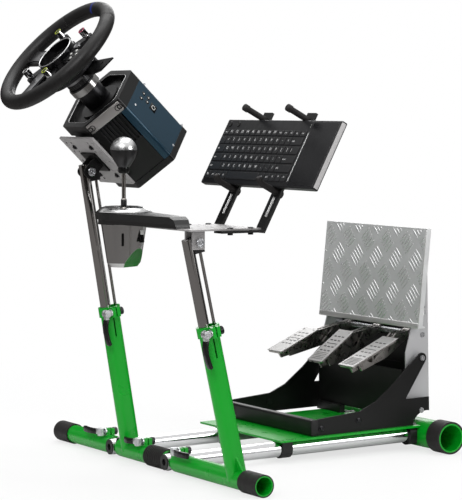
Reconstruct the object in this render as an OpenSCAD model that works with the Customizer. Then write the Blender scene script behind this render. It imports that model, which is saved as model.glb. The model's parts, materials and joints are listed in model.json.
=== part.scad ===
// Racing wheel stand with wheel, servo base, shifter, keyboard holder and hanging pedals
// X is the driver's right, Y runs forward to the pedals, Z is up from the floor

/* [Floor frame] */
// Outer diameter of the green sleeves of the front tube
sleeve_d = 38; // [32:1:46]
// Wall of the green sleeves
sleeve_wall = 2; // [1.5:0.25:3]
// Diameter of the rubber feet on the front tube
front_rubber_d = 43; // [40:1:52]
// Diameter of the chrome floor tubes
chrome_d = 32; // [25:1:34]
// Wall of the chrome floor tubes
chrome_wall = 2; // [1.5:0.25:3]
// Distance from the middle to each chrome tube
chrome_x = 116; // [95:1:140]
// Distance from the front tube to the rear tube
wheelbase = 603; // [520:1:700]
// Chrome tube length in front of the front tube's axis
chrome_nose = 20; // [18:1:30]
// Outer diameter of the green rear tube
rear_d = 60; // [50:1:64]
// Diameter of the rubber feet on the rear tube
rear_rubber_d = 68; // [66:1:76]
// Half length of the rear tube
rear_half = 216; // [190:1:260]
// Length of each rubber foot on the rear tube
rear_rubber_l = 42; // [30:1:60]
// Reach of the left sleeve to the left
left_reach = 375; // [300:1:420]
// Reach of the right sleeve to the right
right_reach = 458; // [430:1:520]
// Length of the rubber feet on the front tube
front_rubber_l = 62; // [40:1:80]

/* [Columns] */
// Width of the oval columns, side to side
post_w = 26; // [24:1:32]
// Depth of the oval columns, front to back
post_t = 40; // [38:1:48]
// Wall of the oval columns
post_wall = 1.8; // [1.4:0.1:2.5]
// Height of the green columns along their axis
post_h = 300; // [260:1:340]
// Place of the main column, sideways
main_x = -62; // [-70:1:-40]
// Backward lean of the main column
main_lean = 9.5; // [5:0.5:14]
// Place of the shifter column, sideways
module_x = 362; // [340:1:370]
// Backward lean of the shifter column
module_lean = 12.5; // [8:0.5:16]
// Diameter of the thick inner tubes
inner_d = 21; // [18:0.5:21.5]
// Diameter of the thin rods behind them
rod_d = 6; // [5:0.5:7]
// Top of the main inner tube, along the column
main_top = 592; // [560:1:620]
// Height of the wheel plate's pivot, along the column
main_pivot_h = 577; // [550:1:590]
// Height of the tray's bolt, along the shifter column
tray_pivot_h = 458; // [430:1:490]
// Depth to which the inner tubes reach below the collars
tube_insert = 170; // [120:1:200]

/* [Steering] */
// Tilt of the steering axis above level
steer_tilt = 44; // [35:1:55]
// Outside diameter of the steering wheel
rim_d = 288; // [270:1:310]
// Thickness of the rim's grip
rim_t = 30; // [26:1:34]
// Side length of the hexagonal servo base
hex_side = 91; // [80:1:98]
// Distance from the rim's plane to the front of the base
base_front = 123; // [116:1:135]
// Depth of the front bezel
bezel_t = 26; // [20:1:34]
// Length of the side panels
panel_l = 136; // [120:1:170]
// Depth of the rear frame
rear_frame_t = 14; // [10:1:24]
// Width of the wheel plate
plate_w = 144; // [120:1:160]
// Length of the wheel plate
plate_l = 130; // [110:1:150]

/* [Shifter and keyboard] */
// Radius of the shifter's cup at its top
shifter_r = 46; // [40:0.5:50]
// Diameter of the shift knob
knob_d = 52; // [44:1:58]
// Height of the knob's middle above the gate
knob_h = 124; // [100:1:150]
// Width of the keyboard
keyboard_w = 408; // [360:1:420]
// Depth of the keyboard, front edge to back edge
keyboard_l = 140; // [120:1:150]
// Thickness of the keyboard
keyboard_t = 13; // [10:1:18]
// Backward lean of the keyboard and its arms
keyboard_lean = 28; // [15:1:40]

/* [Pedal set] */
// Half width of the pedal set
pedal_half = 178; // [165:1:185]
// Place of the pedal set's middle, sideways
pedal_x = -48; // [-60:1:-40]
// Front of the pedal set's bar
pedal_front = 313; // [290:1:330]
// Height of the top of the tread plate above the floor
tread_top = 465; // [440:1:480]
// Spacing of the three pedals
pedal_pitch = 112; // [100:1:116]

/* [Hidden] */
$fn = 64;

// Fits and gaps
run_gap = 0.05;
part_gap = 0.3;
green = "#1fa53a";
rubber = "#2b2a2a";
black = "#1c1c1e";
chrome = "#c9ccd0";
steel = "#8f9296";
alu = "#c4c6c6";
panel_blue = "#22374d";

// Floor frame values worked out from the sizes above
front_z = front_rubber_d/2;
rear_z = rear_rubber_d/2;
chrome_slope = atan((rear_z - front_z)/wheelbase);
sleeve_bore = sleeve_d - 2*sleeve_wall;
stub_d = sleeve_bore - 2*run_gap;
sleeve_end_gap = 2;
left_sleeve_end = -chrome_x - chrome_d/2 - sleeve_end_gap;
centre_end = chrome_x - chrome_d/2 - sleeve_end_gap;
right_sleeve_start = chrome_x + chrome_d/2 + sleeve_end_gap;
stub_reach = 95;
stub_wall = 2;
ribbed_start = 28;
plate_t = 4;
plate_x0 = -186;
plate_x1 = 142;
plate_y0 = 235;
plate_lift = chrome_d/2;

// Clamps: lugs astride a slot, drawn together by a bolt with a cam lever
lug_w = 16;
lug_gap = 3;
lug_t = 7;
lug_h = 15;
slot_w = 3;
clamp_bolt_d = 6;
clamp_rise = 6.5;
clamp_z = sleeve_d/2 + clamp_rise;
cup_t = 3;
cam_d = 15;
cam_w = 16;
cam_slot = 7;
eye_d = 10;
eye_w = 6.4;
lever_pin_d = 4;
lever_y = -(lug_gap/2 + lug_t + cup_t + part_gap + cam_d/2);
left_clamp_x = -157;
fold_clamp_x = 5;
module_clamp_x = 152;

// Column values
tube_gap = part_gap/2;
tube_y = -(post_t/2 - post_wall - inner_d/2) + tube_gap;
rod_y = post_t/2 - post_wall - rod_d/2 - 2*part_gap;
main_bolt_y = tube_y + inner_d/4;
tray_bolt_y = (tube_y + inner_d/2 + rod_y - rod_d/2)/2;
bolt_d = 8;
collar_h = 20;
collar_t = 3;
post_slot_l = 62;
collar_clamp_x = post_w/2 + collar_t + cam_d/2 + part_gap;
head_w = inner_d - 1;
cheek_gap = 1;
cheek_t = 4;
cheek_r = 13;
post_floor = sleeve_d/2 + 4;

// Steering values
rim_r = (rim_d - rim_t)/2;
hex_flat = hex_side*sqrt(3)/2;
wheel_plate_t = 5;
foot_h = 8;
mount_y = -hex_flat - foot_h;
hinge_drop = 29;
pivot_y = mount_y - wheel_plate_t - hinge_drop;
pivot_z = -(base_front + 85);
steer_turn = 90 - steer_tilt;
base_back = base_front + bezel_t + panel_l + rear_frame_t;

// The main pivot in the stand's own coordinates, from which the wheel is placed
main_pivot = [main_x,
  main_bolt_y*cos(main_lean) - main_pivot_h*sin(main_lean),
  front_z + main_bolt_y*sin(main_lean) + main_pivot_h*cos(main_lean)];
wheel_y = main_pivot[1] - pivot_y*cos(steer_turn) + pivot_z*sin(steer_turn);
wheel_z = main_pivot[2] - pivot_y*sin(steer_turn) - pivot_z*cos(steer_turn);

// Tray and shifter values
tray_pivot = [module_x,
  tray_bolt_y*cos(module_lean) - tray_pivot_h*sin(module_lean),
  front_z + tray_bolt_y*sin(module_lean) + tray_pivot_h*cos(module_lean)];
tray_t = 3;
tray_drop = 22;
tray_z = tray_pivot[2] + tray_drop;
tray_x0 = 224;
tray_x1 = 396;
tray_y0 = -121;
tray_y1 = 31;
shifter_x = 110;
shifter_y = -106;
gate_z = tray_z + tray_t + 17;
gimbal_drop = 55;
stick_d = 8;

// Keyboard holder values
arm_w = 30;
arm_t = 5;
arm_x = [235, 391];
arm_l = 245;
keyboard_up = 83;
keyboard_x0 = 122;
keyboard_x1 = keyboard_x0 + keyboard_w;
peg_d = 12;
peg_l = 48;

// The finished part's origin is the middle of its footprint
rear_edge_y = wheelbase + rear_rubber_d/2;
front_edge_y = wheel_y - rim_r*cos(steer_turn) - rim_t/2;
origin_x = (keyboard_x1 - left_reach)/2;
origin_y = (rear_edge_y + front_edge_y)/2;

// Frames in which the pieces are drawn
module placed() {
  translate([-origin_x, -origin_y, 0]) children();
}

module in_front_tube() {
  translate([0, 0, front_z]) children();
}

module in_chrome(side) {
  translate([side*chrome_x, 0, front_z]) rotate([chrome_slope, 0, 0]) children();
}

module on_plate() {
  translate([0, 0, front_z]) rotate([chrome_slope, 0, 0])
    translate([0, 0, plate_lift + plate_t]) children();
}

module in_main() {
  translate([main_x, 0, front_z]) rotate([main_lean, 0, 0]) children();
}

module in_module() {
  translate([module_x, 0, front_z]) rotate([module_lean, 0, 0]) children();
}

module in_steering() {
  translate([main_x, wheel_y, wheel_z]) rotate([steer_turn, 0, 0]) children();
}

module in_arm() {
  translate([0, tray_y1, tray_z]) rotate([-keyboard_lean, 0, 0]) children();
}

// Plain shapes
module along_x(x0, x1, d) {
  translate([x0, 0, 0]) rotate([0, 90, 0]) cylinder(d = d, h = x1 - x0);
}

module along_y(y0, y1, d) {
  translate([0, y1, 0]) rotate([90, 0, 0]) cylinder(d = d, h = y1 - y0);
}

module pipe_x(x0, x1, d, wall) {
  difference() {
    along_x(x0, x1, d);
    along_x(x0 - 1, x1 + 1, d - 2*wall);
  }
}

module profile_x(x0, x1) {
  translate([x0, 0, 0]) rotate([90, 0, 90]) linear_extrude(x1 - x0) children();
}

module oval(w, t) {
  for (s = [-1, 1]) translate([0, s*(t - w)/2]) circle(d = w);
  square([w, t - w], center = true);
}

module hexagon(side) {
  circle(r = side, $fn = 6);
}

// Floor tubes
module rear_solid(d) {
  translate([0, wheelbase, rear_z]) along_x(-rear_half - 1, rear_half + 1, d);
}

module chrome_tubes() placed() color(chrome)
  for (side = [-1, 1]) difference() {
    in_chrome(side) along_y(-chrome_nose, wheelbase, chrome_d);
    in_chrome(side) along_y(-chrome_nose - 1, wheelbase + 1, chrome_d - 2*chrome_wall);
    rear_solid(rear_d);
  }

module cross_tubes() placed() color(chrome) difference() {
  in_front_tube() {
    pipe_x(-chrome_x - stub_reach, -chrome_x, stub_d, stub_wall);
    pipe_x(-chrome_x, chrome_x, stub_d, stub_wall);
    pipe_x(chrome_x, chrome_x + stub_reach, stub_d, stub_wall);
  }
  for (side = [-1, 1]) in_chrome(side) along_y(-60, 60, chrome_d);
}

plug_t = 10;
plug_rim = 2;
plug_hex_d = 15;
module tube_plugs() placed() color(black)
  for (side = [-1, 1]) in_chrome(side) difference() {
    union() {
      along_y(-chrome_nose - plug_rim, -chrome_nose, chrome_d - 1);
      along_y(-chrome_nose, -chrome_nose + plug_t, chrome_d - 2*chrome_wall);
    }
    translate([0, -chrome_nose - plug_rim - 1, 0]) rotate([-90, 0, 0])
      cylinder(d = plug_hex_d, h = plug_t - 1, $fn = 6);
  }

module rear_tube() placed() color(green)
  translate([0, wheelbase, rear_z]) pipe_x(-rear_half, rear_half, rear_d, 3);

module rear_caps() placed() color(rubber)
  for (side = [0, 1]) mirror([side, 0, 0]) translate([0, wheelbase, rear_z])
    pipe_x(rear_half - rear_rubber_l, rear_half, rear_rubber_d, (rear_rubber_d - rear_d)/2);

bushing_d = 44;
bushing_l = 16;
module tube_bushings() placed() color(black)
  for (side = [-1, 1]) difference() {
    in_chrome(side) along_y(wheelbase - rear_d/2 - bushing_l, wheelbase, bushing_d);
    in_chrome(side) along_y(0, wheelbase + rear_d, chrome_d);
    rear_solid(rear_d);
  }

// Green plate that carries the pedals, resting on the chrome tubes
plate_hole_d = 6.5;
plate_hole_x = [-70, 30];
plate_hole_y = [268, 298];
module pedal_plate() placed() color(green) difference() {
  on_plate() translate([plate_x0, plate_y0, -plate_t])
    cube([plate_x1 - plate_x0, wheelbase - plate_y0, plate_t]);
  rear_solid(rear_d);
  for (side = [0, 1]) mirror([side, 0, 0]) translate([0, wheelbase, rear_z])
    along_x(rear_half - rear_rubber_l - 1, rear_half, rear_rubber_d + 2*part_gap);
  for (side = [-1, 1]) in_chrome(side) along_y(wheelbase - rear_d/2 - bushing_l - 1, wheelbase, bushing_d);
  on_plate() for (x = plate_hole_x) for (y = plate_hole_y)
    translate([x, y, -plate_t - 1]) cylinder(d = plate_hole_d, h = plate_t + 2);
}

clip_w = 24;
clip_t = 3;
clip_back = 8;
module clip_outline(r) {
  intersection() {
    union() {
      circle(r = r);
      translate([-r, 0]) square([2*r, plate_lift]);
    }
    translate([-2*r, -2*r]) square([4*r, 2*r + plate_lift]);
  }
}

module plate_clips() placed() color(black)
  for (side = [-1, 1]) in_chrome(side)
    translate([0, plate_y0 + clip_back + clip_w, 0]) rotate([90, 0, 0]) linear_extrude(clip_w) difference() {
      clip_outline(chrome_d/2 + clip_t);
      clip_outline(chrome_d/2);
      translate([-chrome_d/2, 0]) square([chrome_d, plate_lift + 1]);
    }

// Clamp pieces, drawn about the axis of a sleeve along X
module clamp_lugs(x) {
  difference() {
    for (s = [-1, 1])
      translate([x - lug_w/2, s < 0 ? -lug_gap/2 - lug_t : lug_gap/2, sleeve_d/4])
        cube([lug_w, lug_t, clamp_z - sleeve_d/4 + clamp_rise]);
    along_x(x - lug_w, x + lug_w, sleeve_d);
  }
}

module bolt_hole() {
  along_y(-lug_gap - lug_t, lug_gap + lug_t, clamp_bolt_d);
}

// Clamp bolt with the lever's pressure cup, eye and pin on one side and a ring nut on the other
module clamp_bolt(turn) {
  along_y(lever_y, lug_gap/2 + lug_t + 9, clamp_bolt_d);
  along_y(-lug_gap/2 - lug_t - cup_t, -lug_gap/2 - lug_t, cam_d);
  along_y(lug_gap/2 + lug_t, lug_gap/2 + lug_t + 6, 14);
  translate([0, lever_y, 0]) rotate([0, turn, 0]) {
    cylinder(d = eye_d, h = eye_w, center = true);
    cylinder(d = lever_pin_d, h = cam_w, center = true);
  }
}

// Quick lever: a slotted round cam on a pin, with a curved handle along its own X
module quick_lever(handle_l) {
  difference() {
    union() {
      cylinder(d = cam_d, h = cam_w, center = true);
      linear_extrude(12, center = true) handle_outline(handle_l);
    }
    translate([-cam_d, -cam_d, -cam_slot/2]) cube([cam_d + eye_d/2 + 0.5, 2*cam_d, cam_slot]);
    cylinder(d = lever_pin_d + 2*run_gap, h = 2*cam_w, center = true);
  }
}

module handle_outline(l) {
  hull() {
    translate([2, -3]) circle(d = 8);
    translate([0.55*l, -8]) circle(d = 7);
  }
  hull() {
    translate([0.55*l, -8]) circle(d = 7);
    translate([l - 4, -4]) circle(d = 8);
  }
}

module sleeve_lever(x, handle_l, left) {
  in_front_tube() translate([x, lever_y, clamp_z])
    mirror([left ? 1 : 0, 0, 0]) quick_lever(handle_l);
}

module collar_lever(handle_l) {
  translate([collar_clamp_x, lever_y, post_h - collar_h/2])
    rotate([0, 90, 0]) quick_lever(handle_l);
}

module sleeve(x0, x1, bore) {
  difference() {
    along_x(x0, x1, sleeve_d);
    along_x(x0 - 1, x1 + 1, bore);
  }
}

module sleeve_slot(x0, x1) {
  translate([x0, -slot_w/2, 0]) cube([x1 - x0, slot_w, sleeve_d]);
}

cap_floor = 3;
module left_sleeve() placed() color(green) in_front_tube() difference() {
  union() {
    sleeve(-left_reach + cap_floor, left_sleeve_end, stub_d);
    clamp_lugs(left_clamp_x);
  }
  sleeve_slot(left_clamp_x - 20, left_sleeve_end + 1);
  translate([left_clamp_x, 0, clamp_z]) bolt_hole();
}

module left_clamp_bolt() placed() color(steel) in_front_tube()
  translate([left_clamp_x, 0, clamp_z]) clamp_bolt(0);

handle_l = 66;
fold_handle_l = 48;
module left_lever() placed() color(black) sleeve_lever(left_clamp_x, handle_l, true);
module fold_lever() placed() color(black) sleeve_lever(fold_clamp_x, fold_handle_l, true);
module module_sleeve_lever() placed() color(black) sleeve_lever(module_clamp_x, handle_l, false);

module left_foot_cap() placed() color(rubber) in_front_tube() difference() {
  along_x(-left_reach, -left_reach + front_rubber_l, front_rubber_d);
  along_x(-left_reach + cap_floor, 0, sleeve_d);
}

// Column: an oval post welded on its sleeve, split and clamped at the top
module post_body() {
  difference() {
    union() {
      linear_extrude(post_h) oval(post_w, post_t);
      translate([0, 0, post_h - collar_h])
        linear_extrude(collar_h) oval(post_w + 2*collar_t, post_t + 2*collar_t);
      for (s = [-1, 1])
        translate([post_w/2, s < 0 ? -lug_gap/2 - lug_t : lug_gap/2, post_h - collar_h])
          cube([collar_t + lug_h, lug_t, collar_h]);
    }
    translate([0, 0, post_floor])
      linear_extrude(post_h) oval(post_w - 2*post_wall, post_t - 2*post_wall);
    translate([0, -slot_w/2, post_h - post_slot_l]) cube([post_w, slot_w, post_slot_l + 1]);
    translate([collar_clamp_x, 0, post_h - collar_h/2]) bolt_hole();
  }
}

module main_post() placed() color(green) difference() {
  union() {
    in_front_tube() along_x(-centre_end, centre_end, sleeve_d);
    in_main() post_body();
    in_front_tube() clamp_lugs(fold_clamp_x);
  }
  in_front_tube() along_x(-centre_end - 1, centre_end + 1, sleeve_bore);
  in_front_tube() sleeve_slot(fold_clamp_x - 14, centre_end + 1);
  in_front_tube() translate([fold_clamp_x, 0, clamp_z]) bolt_hole();
}

rib_w = 4;
rib_step = 7.2;
rib_h = 1.2;
module ribbed_foot_cap() placed() color(rubber) in_front_tube() difference() {
  union() {
    along_x(ribbed_start, centre_end, front_rubber_d - 2*rib_h);
    for (x = [ribbed_start : rib_step : centre_end - rib_w]) along_x(x, x + rib_w, front_rubber_d);
  }
  along_x(0, centre_end + 1, sleeve_d);
}

module main_clamp_bolts() placed() color(steel) {
  in_front_tube() translate([fold_clamp_x, 0, clamp_z]) clamp_bolt(0);
  in_main() translate([collar_clamp_x, 0, post_h - collar_h/2]) clamp_bolt(90);
}

module main_post_lever() placed() color(black) in_main() collar_lever(handle_l);
module module_post_lever() placed() color(black) in_module() collar_lever(handle_l);

gusset_z = sleeve_d/2 - 2;
gusset_x = post_w/2 - 1;
module module_post() placed() color(green) difference() {
  union() {
    in_front_tube() along_x(right_sleeve_start, right_reach, sleeve_d);
    in_module() post_body();
    in_module() rotate([90, 0, 0]) linear_extrude(4, center = true)
      polygon([[gusset_x, gusset_z], [gusset_x + 17, gusset_z], [gusset_x + 1, gusset_z + 28],
        [gusset_x, gusset_z + 28]]);
    in_front_tube() clamp_lugs(module_clamp_x);
  }
  in_front_tube() along_x(right_sleeve_start - 1, right_reach + 1, sleeve_bore);
  in_front_tube() sleeve_slot(right_sleeve_start - 1, module_clamp_x + 20);
  in_front_tube() translate([module_clamp_x, 0, clamp_z]) bolt_hole();
}

module module_clamp_bolts() placed() color(steel) {
  in_front_tube() translate([module_clamp_x, 0, clamp_z]) clamp_bolt(0);
  in_module() translate([collar_clamp_x, 0, post_h - collar_h/2]) clamp_bolt(90);
}

// The right foot's cap starts clear of the column, whatever the sleeve's reach
module_cap_start = max(right_reach - front_rubber_l, module_x + post_w/2 + part_gap);
module module_foot_cap() placed() color(rubber) in_front_tube()
  pipe_x(module_cap_start, right_reach, front_rubber_d, (front_rubber_d - sleeve_d)/2);

// Inner tubes of the columns, with the black head that joins tube and rod
tube_wall = 1.5;
head_drop = 20;
head_top = 10;
module inner_pair(top, head_h, bolt_y) {
  bottom = post_h - tube_insert;
  difference() {
    translate([0, tube_y, bottom]) cylinder(d = inner_d, h = top - bottom);
    translate([0, tube_y, bottom - 1]) cylinder(d = inner_d - 2*tube_wall, h = top - bottom - 2);
    translate([0, bolt_y, head_h]) along_x(-inner_d, inner_d, bolt_d + 2*run_gap);
  }
  translate([0, rod_y, bottom]) cylinder(d = rod_d, h = head_h - bottom);
}

module main_inner_tube() placed() color(chrome) in_main()
  inner_pair(main_top, main_pivot_h, main_bolt_y);

module head_block(h, bolt_y) {
  front = tube_y + inner_d/4;
  back = rod_y + rod_d/2 + 2;
  difference() {
    translate([-head_w/2, front, h - head_drop]) cube([head_w, back - front, head_drop + head_top]);
    translate([0, tube_y, h - head_drop - 1]) cylinder(d = inner_d, h = 2*head_drop);
    translate([0, rod_y, h - head_drop - 1]) cylinder(d = rod_d, h = head_drop + 1);
    translate([0, bolt_y, h]) along_x(-head_w, head_w, bolt_d + 2*run_gap);
  }
}

module main_head() placed() color(black) in_main() head_block(main_pivot_h, main_bolt_y);
module tray_head() placed() color(black) in_module() head_block(tray_pivot_h, tray_bolt_y);

// Pivot bolt and the two cheeks that hang from a plate at the given height above it
cheek_head_t = 6;
cheek_head_d = 14;
module pivot_cheeks(height, corner_r) {
  reach = head_w/2 + cheek_gap;
  for (s = [0, 1]) mirror([s, 0, 0]) {
    profile_x(reach, reach + cheek_t) {
      translate([-cheek_r, 0]) square([2*cheek_r, height]);
      for (c = [-1, 1]) translate([c*(cheek_r - corner_r), corner_r - cheek_r]) circle(r = corner_r);
      translate([corner_r - cheek_r, -cheek_r]) square([2*cheek_r - 2*corner_r, cheek_r]);
      translate([-cheek_r, corner_r - cheek_r]) square([2*cheek_r, cheek_r - corner_r]);
    }
    along_x(reach + cheek_t, reach + cheek_t + cheek_head_t, cheek_head_d);
  }
  along_x(-reach - cheek_t - cheek_head_t, reach + cheek_t + cheek_head_t, bolt_d);
}

hinge_t = 4;
hinge_w = 58;
hinge_l = 50;
module plate_hinge() placed() color(black) in_steering() translate([0, pivot_y, pivot_z]) {
  rotate([-90, 0, 0]) pivot_cheeks(hinge_drop, 10);
  translate([-hinge_w/2, hinge_drop - hinge_t, -hinge_l/2]) cube([hinge_w, hinge_t, hinge_l]);
}

plate_hole_pitch = 26;
module wheel_plate() placed() color(steel) in_steering() difference() {
  translate([-plate_w/2, mount_y - wheel_plate_t, pivot_z - plate_l/2])
    cube([plate_w, wheel_plate_t, plate_l]);
  for (x = [-58, -36, 36, 58]) for (i = [-2:2])
    translate([x, mount_y + 1, pivot_z + i*plate_hole_pitch]) rotate([90, 0, 0])
      cylinder(d = 6, h = wheel_plate_t + 2);
}

// Servo base
panel_t = 6;
body_side = hex_side - panel_t;
bezel_recess = 12;
bezel_rim = 14;
corner_round = 9;
shaft_d = 46;
flange_d = 90;
flange_t = 5;
base_mid = base_front + bezel_t + panel_l;
module rounded_hexagon(side, r) {
  hull() for (a = [0:60:300]) rotate(a) translate([side - r/cos(30), 0]) circle(r = r);
}

module on_lower_right_face(z) {
  translate([0, 0, z]) rotate([0, 0, 60]) translate([0, -hex_flat, 0]) children();
}

bar_l = 62;
bar_w = 16;
bar_t = 4;
bar_z = -base_front - bezel_t/2;
boss_r = 6;
module base_bezel() placed() color(black) in_steering() {
  difference() {
    union() {
      translate([0, 0, -base_front - bezel_t]) linear_extrude(bezel_t) rounded_hexagon(hex_side, corner_round);
      on_lower_right_face(bar_z) for (s = [-1, 1]) translate([s*(bar_l/2 + boss_r + 1), 1, 0])
        rotate([90, 0, 0]) cylinder(r = boss_r, h = bar_t + 2);
    }
    translate([0, 0, -base_front - bezel_recess]) linear_extrude(bezel_t)
      rounded_hexagon(hex_side - bezel_rim, corner_round);
    translate([0, 0, -base_front - bezel_t + 4]) cylinder(d = shaft_d + 2*run_gap, h = bezel_t);
    on_lower_right_face(bar_z) for (s = [-1, 1]) translate([s*(bar_l/2 + boss_r + 1), -bar_t + 1, 0])
      rotate([90, 0, 0]) cylinder(r = boss_r - 2.5, h = bar_t);
  }
  translate([0, 0, -base_front - bezel_recess]) difference() {
    cylinder(d = flange_d, h = flange_t);
    translate([0, 0, -1]) cylinder(d = shaft_d + 2*run_gap, h = flange_t + 2);
  }
}

module base_front_bar() placed() color(steel) in_steering()
  on_lower_right_face(bar_z) translate([-bar_l/2, -bar_t, -bar_w/2]) cube([bar_l, bar_t, bar_w]);

// Cooling fins run along the lower slanted faces behind the bezel
fin_l = 66;
fin_t = 3;
fin_pitch = 7.6;
fin_count = 8;
foot_x = 36;
foot_z = 40;
module base_heat_sink() placed() color(black) in_steering() translate([0, 0, -base_mid]) {
  linear_extrude(panel_l) hexagon(body_side);
  linear_extrude(panel_l - fin_l) intersection() {
    hexagon(hex_side - 1);
    translate([-2*hex_side, -4*hex_side - part_gap - panel_gap_y]) square([4*hex_side, 4*hex_side]);
  }
  for (a = [-60, 60]) rotate(a) for (i = [0 : fin_count - 1])
    translate([(i - (fin_count - 1)/2)*fin_pitch - fin_t/2, -hex_flat, panel_l - fin_l - 1])
      cube([fin_t, panel_t, fin_l + 1]);
  for (x = [-foot_x, foot_x]) for (z = [-foot_z, foot_z])
    translate([x, mount_y, pivot_z + z + base_mid]) rotate([-90, 0, 0])
      cylinder(d = 14, h = foot_h + panel_t);
}

panel_gap_y = 12;
module base_side_panels() placed() color(panel_blue) in_steering()
  translate([0, 0, -base_mid]) linear_extrude(panel_l) difference() {
    rounded_hexagon(hex_side, corner_round);
    hexagon(body_side);
    translate([-2*hex_side, -4*hex_side - panel_gap_y]) square([4*hex_side, 4*hex_side]);
    translate([-hex_side/2 + 3, 0]) square([hex_side - 6, 2*hex_side]);
  }

module base_rear_frame() placed() color(black) in_steering() translate([0, 0, -base_back])
  linear_extrude(rear_frame_t) rounded_hexagon(hex_side + 1, corner_round);

// Steering wheel
hub_r = 58;
hub_t = 18;
hub_z = -46;
neck_r = 44;
face_z = -14;
face_t_hub = 10;
knob_z = face_z + face_t_hub;
cup_r = 38;
cup_wall = 3.5;
cup_top = 7.5;
cup_floor = -8;
spoke_w = 36;
spoke_t = 9;
knob_at = [[-52, 54], [52, 54], [-43, -56], [43, -56]];
knob_len = 18;
knob_dia = 15;
release_d = [56, 62, 54];
release_t = [28, 18];
module quick_release() placed() color(black) in_steering() {
  low = -base_front - bezel_recess;
  translate([0, 0, low - 6]) cylinder(d = shaft_d, h = hub_z - release_t[0] - release_t[1] - low + 6);
  translate([0, 0, low + flange_t + 1])
    cylinder(d = release_d[2], h = hub_z - release_t[0] - release_t[1] - low - flange_t - 1);
  translate([0, 0, hub_z - release_t[0] - release_t[1]]) cylinder(d = release_d[1], h = release_t[1]);
  translate([0, 0, hub_z - release_t[0]]) cylinder(d = release_d[0], h = release_t[0]);
}

module hub_face() {
  circle(r = neck_r);
  for (p = knob_at) {
    rotate(atan2(p[1], p[0])) translate([0, -10]) square([norm(p), 20]);
    translate(p) circle(r = 11);
  }
}

module wheel_hub() placed() color(black) in_steering() difference() {
  union() {
    translate([0, 0, hub_z]) cylinder(r = hub_r, h = hub_t);
    translate([0, 0, hub_z + hub_t]) cylinder(r = neck_r, h = face_z - hub_z - hub_t);
    translate([0, 0, face_z]) linear_extrude(face_t_hub) hub_face();
    translate([0, 0, knob_z]) cylinder(r = cup_r + cup_wall, h = cup_top - knob_z);
    for (a = [0, 180, 270]) rotate([0, 0, a])
      translate([neck_r - 12, -spoke_w/2, face_z + 2]) cube([rim_r - neck_r + 12, spoke_w, spoke_t]);
    for (side = [-1, 1]) for (y = [-1, 1])
      translate([side*paddle_x, paddle_y + y*(paddle_h/2 + 3), hub_z - paddle_drop])
        translate([-4, -2, -4]) cube([8, 4, paddle_drop + 5]);
    for (side = [-1, 1]) translate([side*paddle_x, paddle_y, hub_z - paddle_drop])
      along_y(-paddle_h/2 - 4, paddle_h/2 + 4, paddle_pin_d);
  }
  translate([0, 0, cup_floor]) cylinder(r = cup_r, h = cup_top - cup_floor + 1);
  torus(rim_t);
}

paddle_x = 34;
paddle_y = 20;
paddle_h = 36;
paddle_l = 62;
paddle_drop = 10;
paddle_pin_d = 4;

module torus(d) {
  rotate_extrude() translate([rim_r, 0]) circle(d = d);
}

module wheel_rim() placed() color(black) in_steering() torus(rim_t);

module wheel_knobs() placed() color(chrome) in_steering()
  for (p = knob_at) translate([p[0], p[1], knob_z]) {
    cylinder(d = knob_dia - 5, h = 5);
    translate([0, 0, 4]) cylinder(d = knob_dia, h = knob_len - 4);
  }

module paddle_outline() {
  polygon([[0, -paddle_h/2], [0.55*paddle_l, -paddle_h/2 - 4], [paddle_l, -paddle_h/4],
    [paddle_l + 6, paddle_h/2 + 8], [0.5*paddle_l, paddle_h/2 + 4], [0, paddle_h/2]]);
}

module paddle(side) {
  mirror([side < 0 ? 1 : 0, 0, 0]) translate([paddle_x, paddle_y, hub_z - paddle_drop]) difference() {
    union() {
      translate([0, 0, -1.5]) linear_extrude(3) difference() {
        paddle_outline();
        translate([0.66*paddle_l, -paddle_h/8]) square([4, paddle_h/2]);
      }
      along_y(-paddle_h/2, paddle_h/2, 8);
    }
    along_y(-paddle_h, paddle_h, paddle_pin_d + 2*run_gap);
  }
}

module paddle_left() placed() color(black) in_steering() paddle(-1);
module paddle_right() placed() color(black) in_steering() paddle(1);

// Shifter module
tray_tube_over = 9;
module module_inner_tube() placed() color(chrome) in_module()
  inner_pair(tray_pivot_h + tray_tube_over, tray_pivot_h, tray_bolt_y);

tray_hole_d = 6.5;
tray_hole_x = [285, 335];
tray_hole_y = [-40, 10];
module tray_plate() placed() color(steel) {
  difference() {
    translate([tray_x0, tray_y0, tray_z]) cube([tray_x1 - tray_x0, tray_y1 - tray_y0, tray_t]);
    for (x = tray_hole_x) for (y = tray_hole_y)
      translate([x, y, tray_z - 1]) cylinder(d = tray_hole_d, h = tray_t + 2);
  }
  translate(tray_pivot) pivot_cheeks(tray_drop, 2);
}

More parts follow.
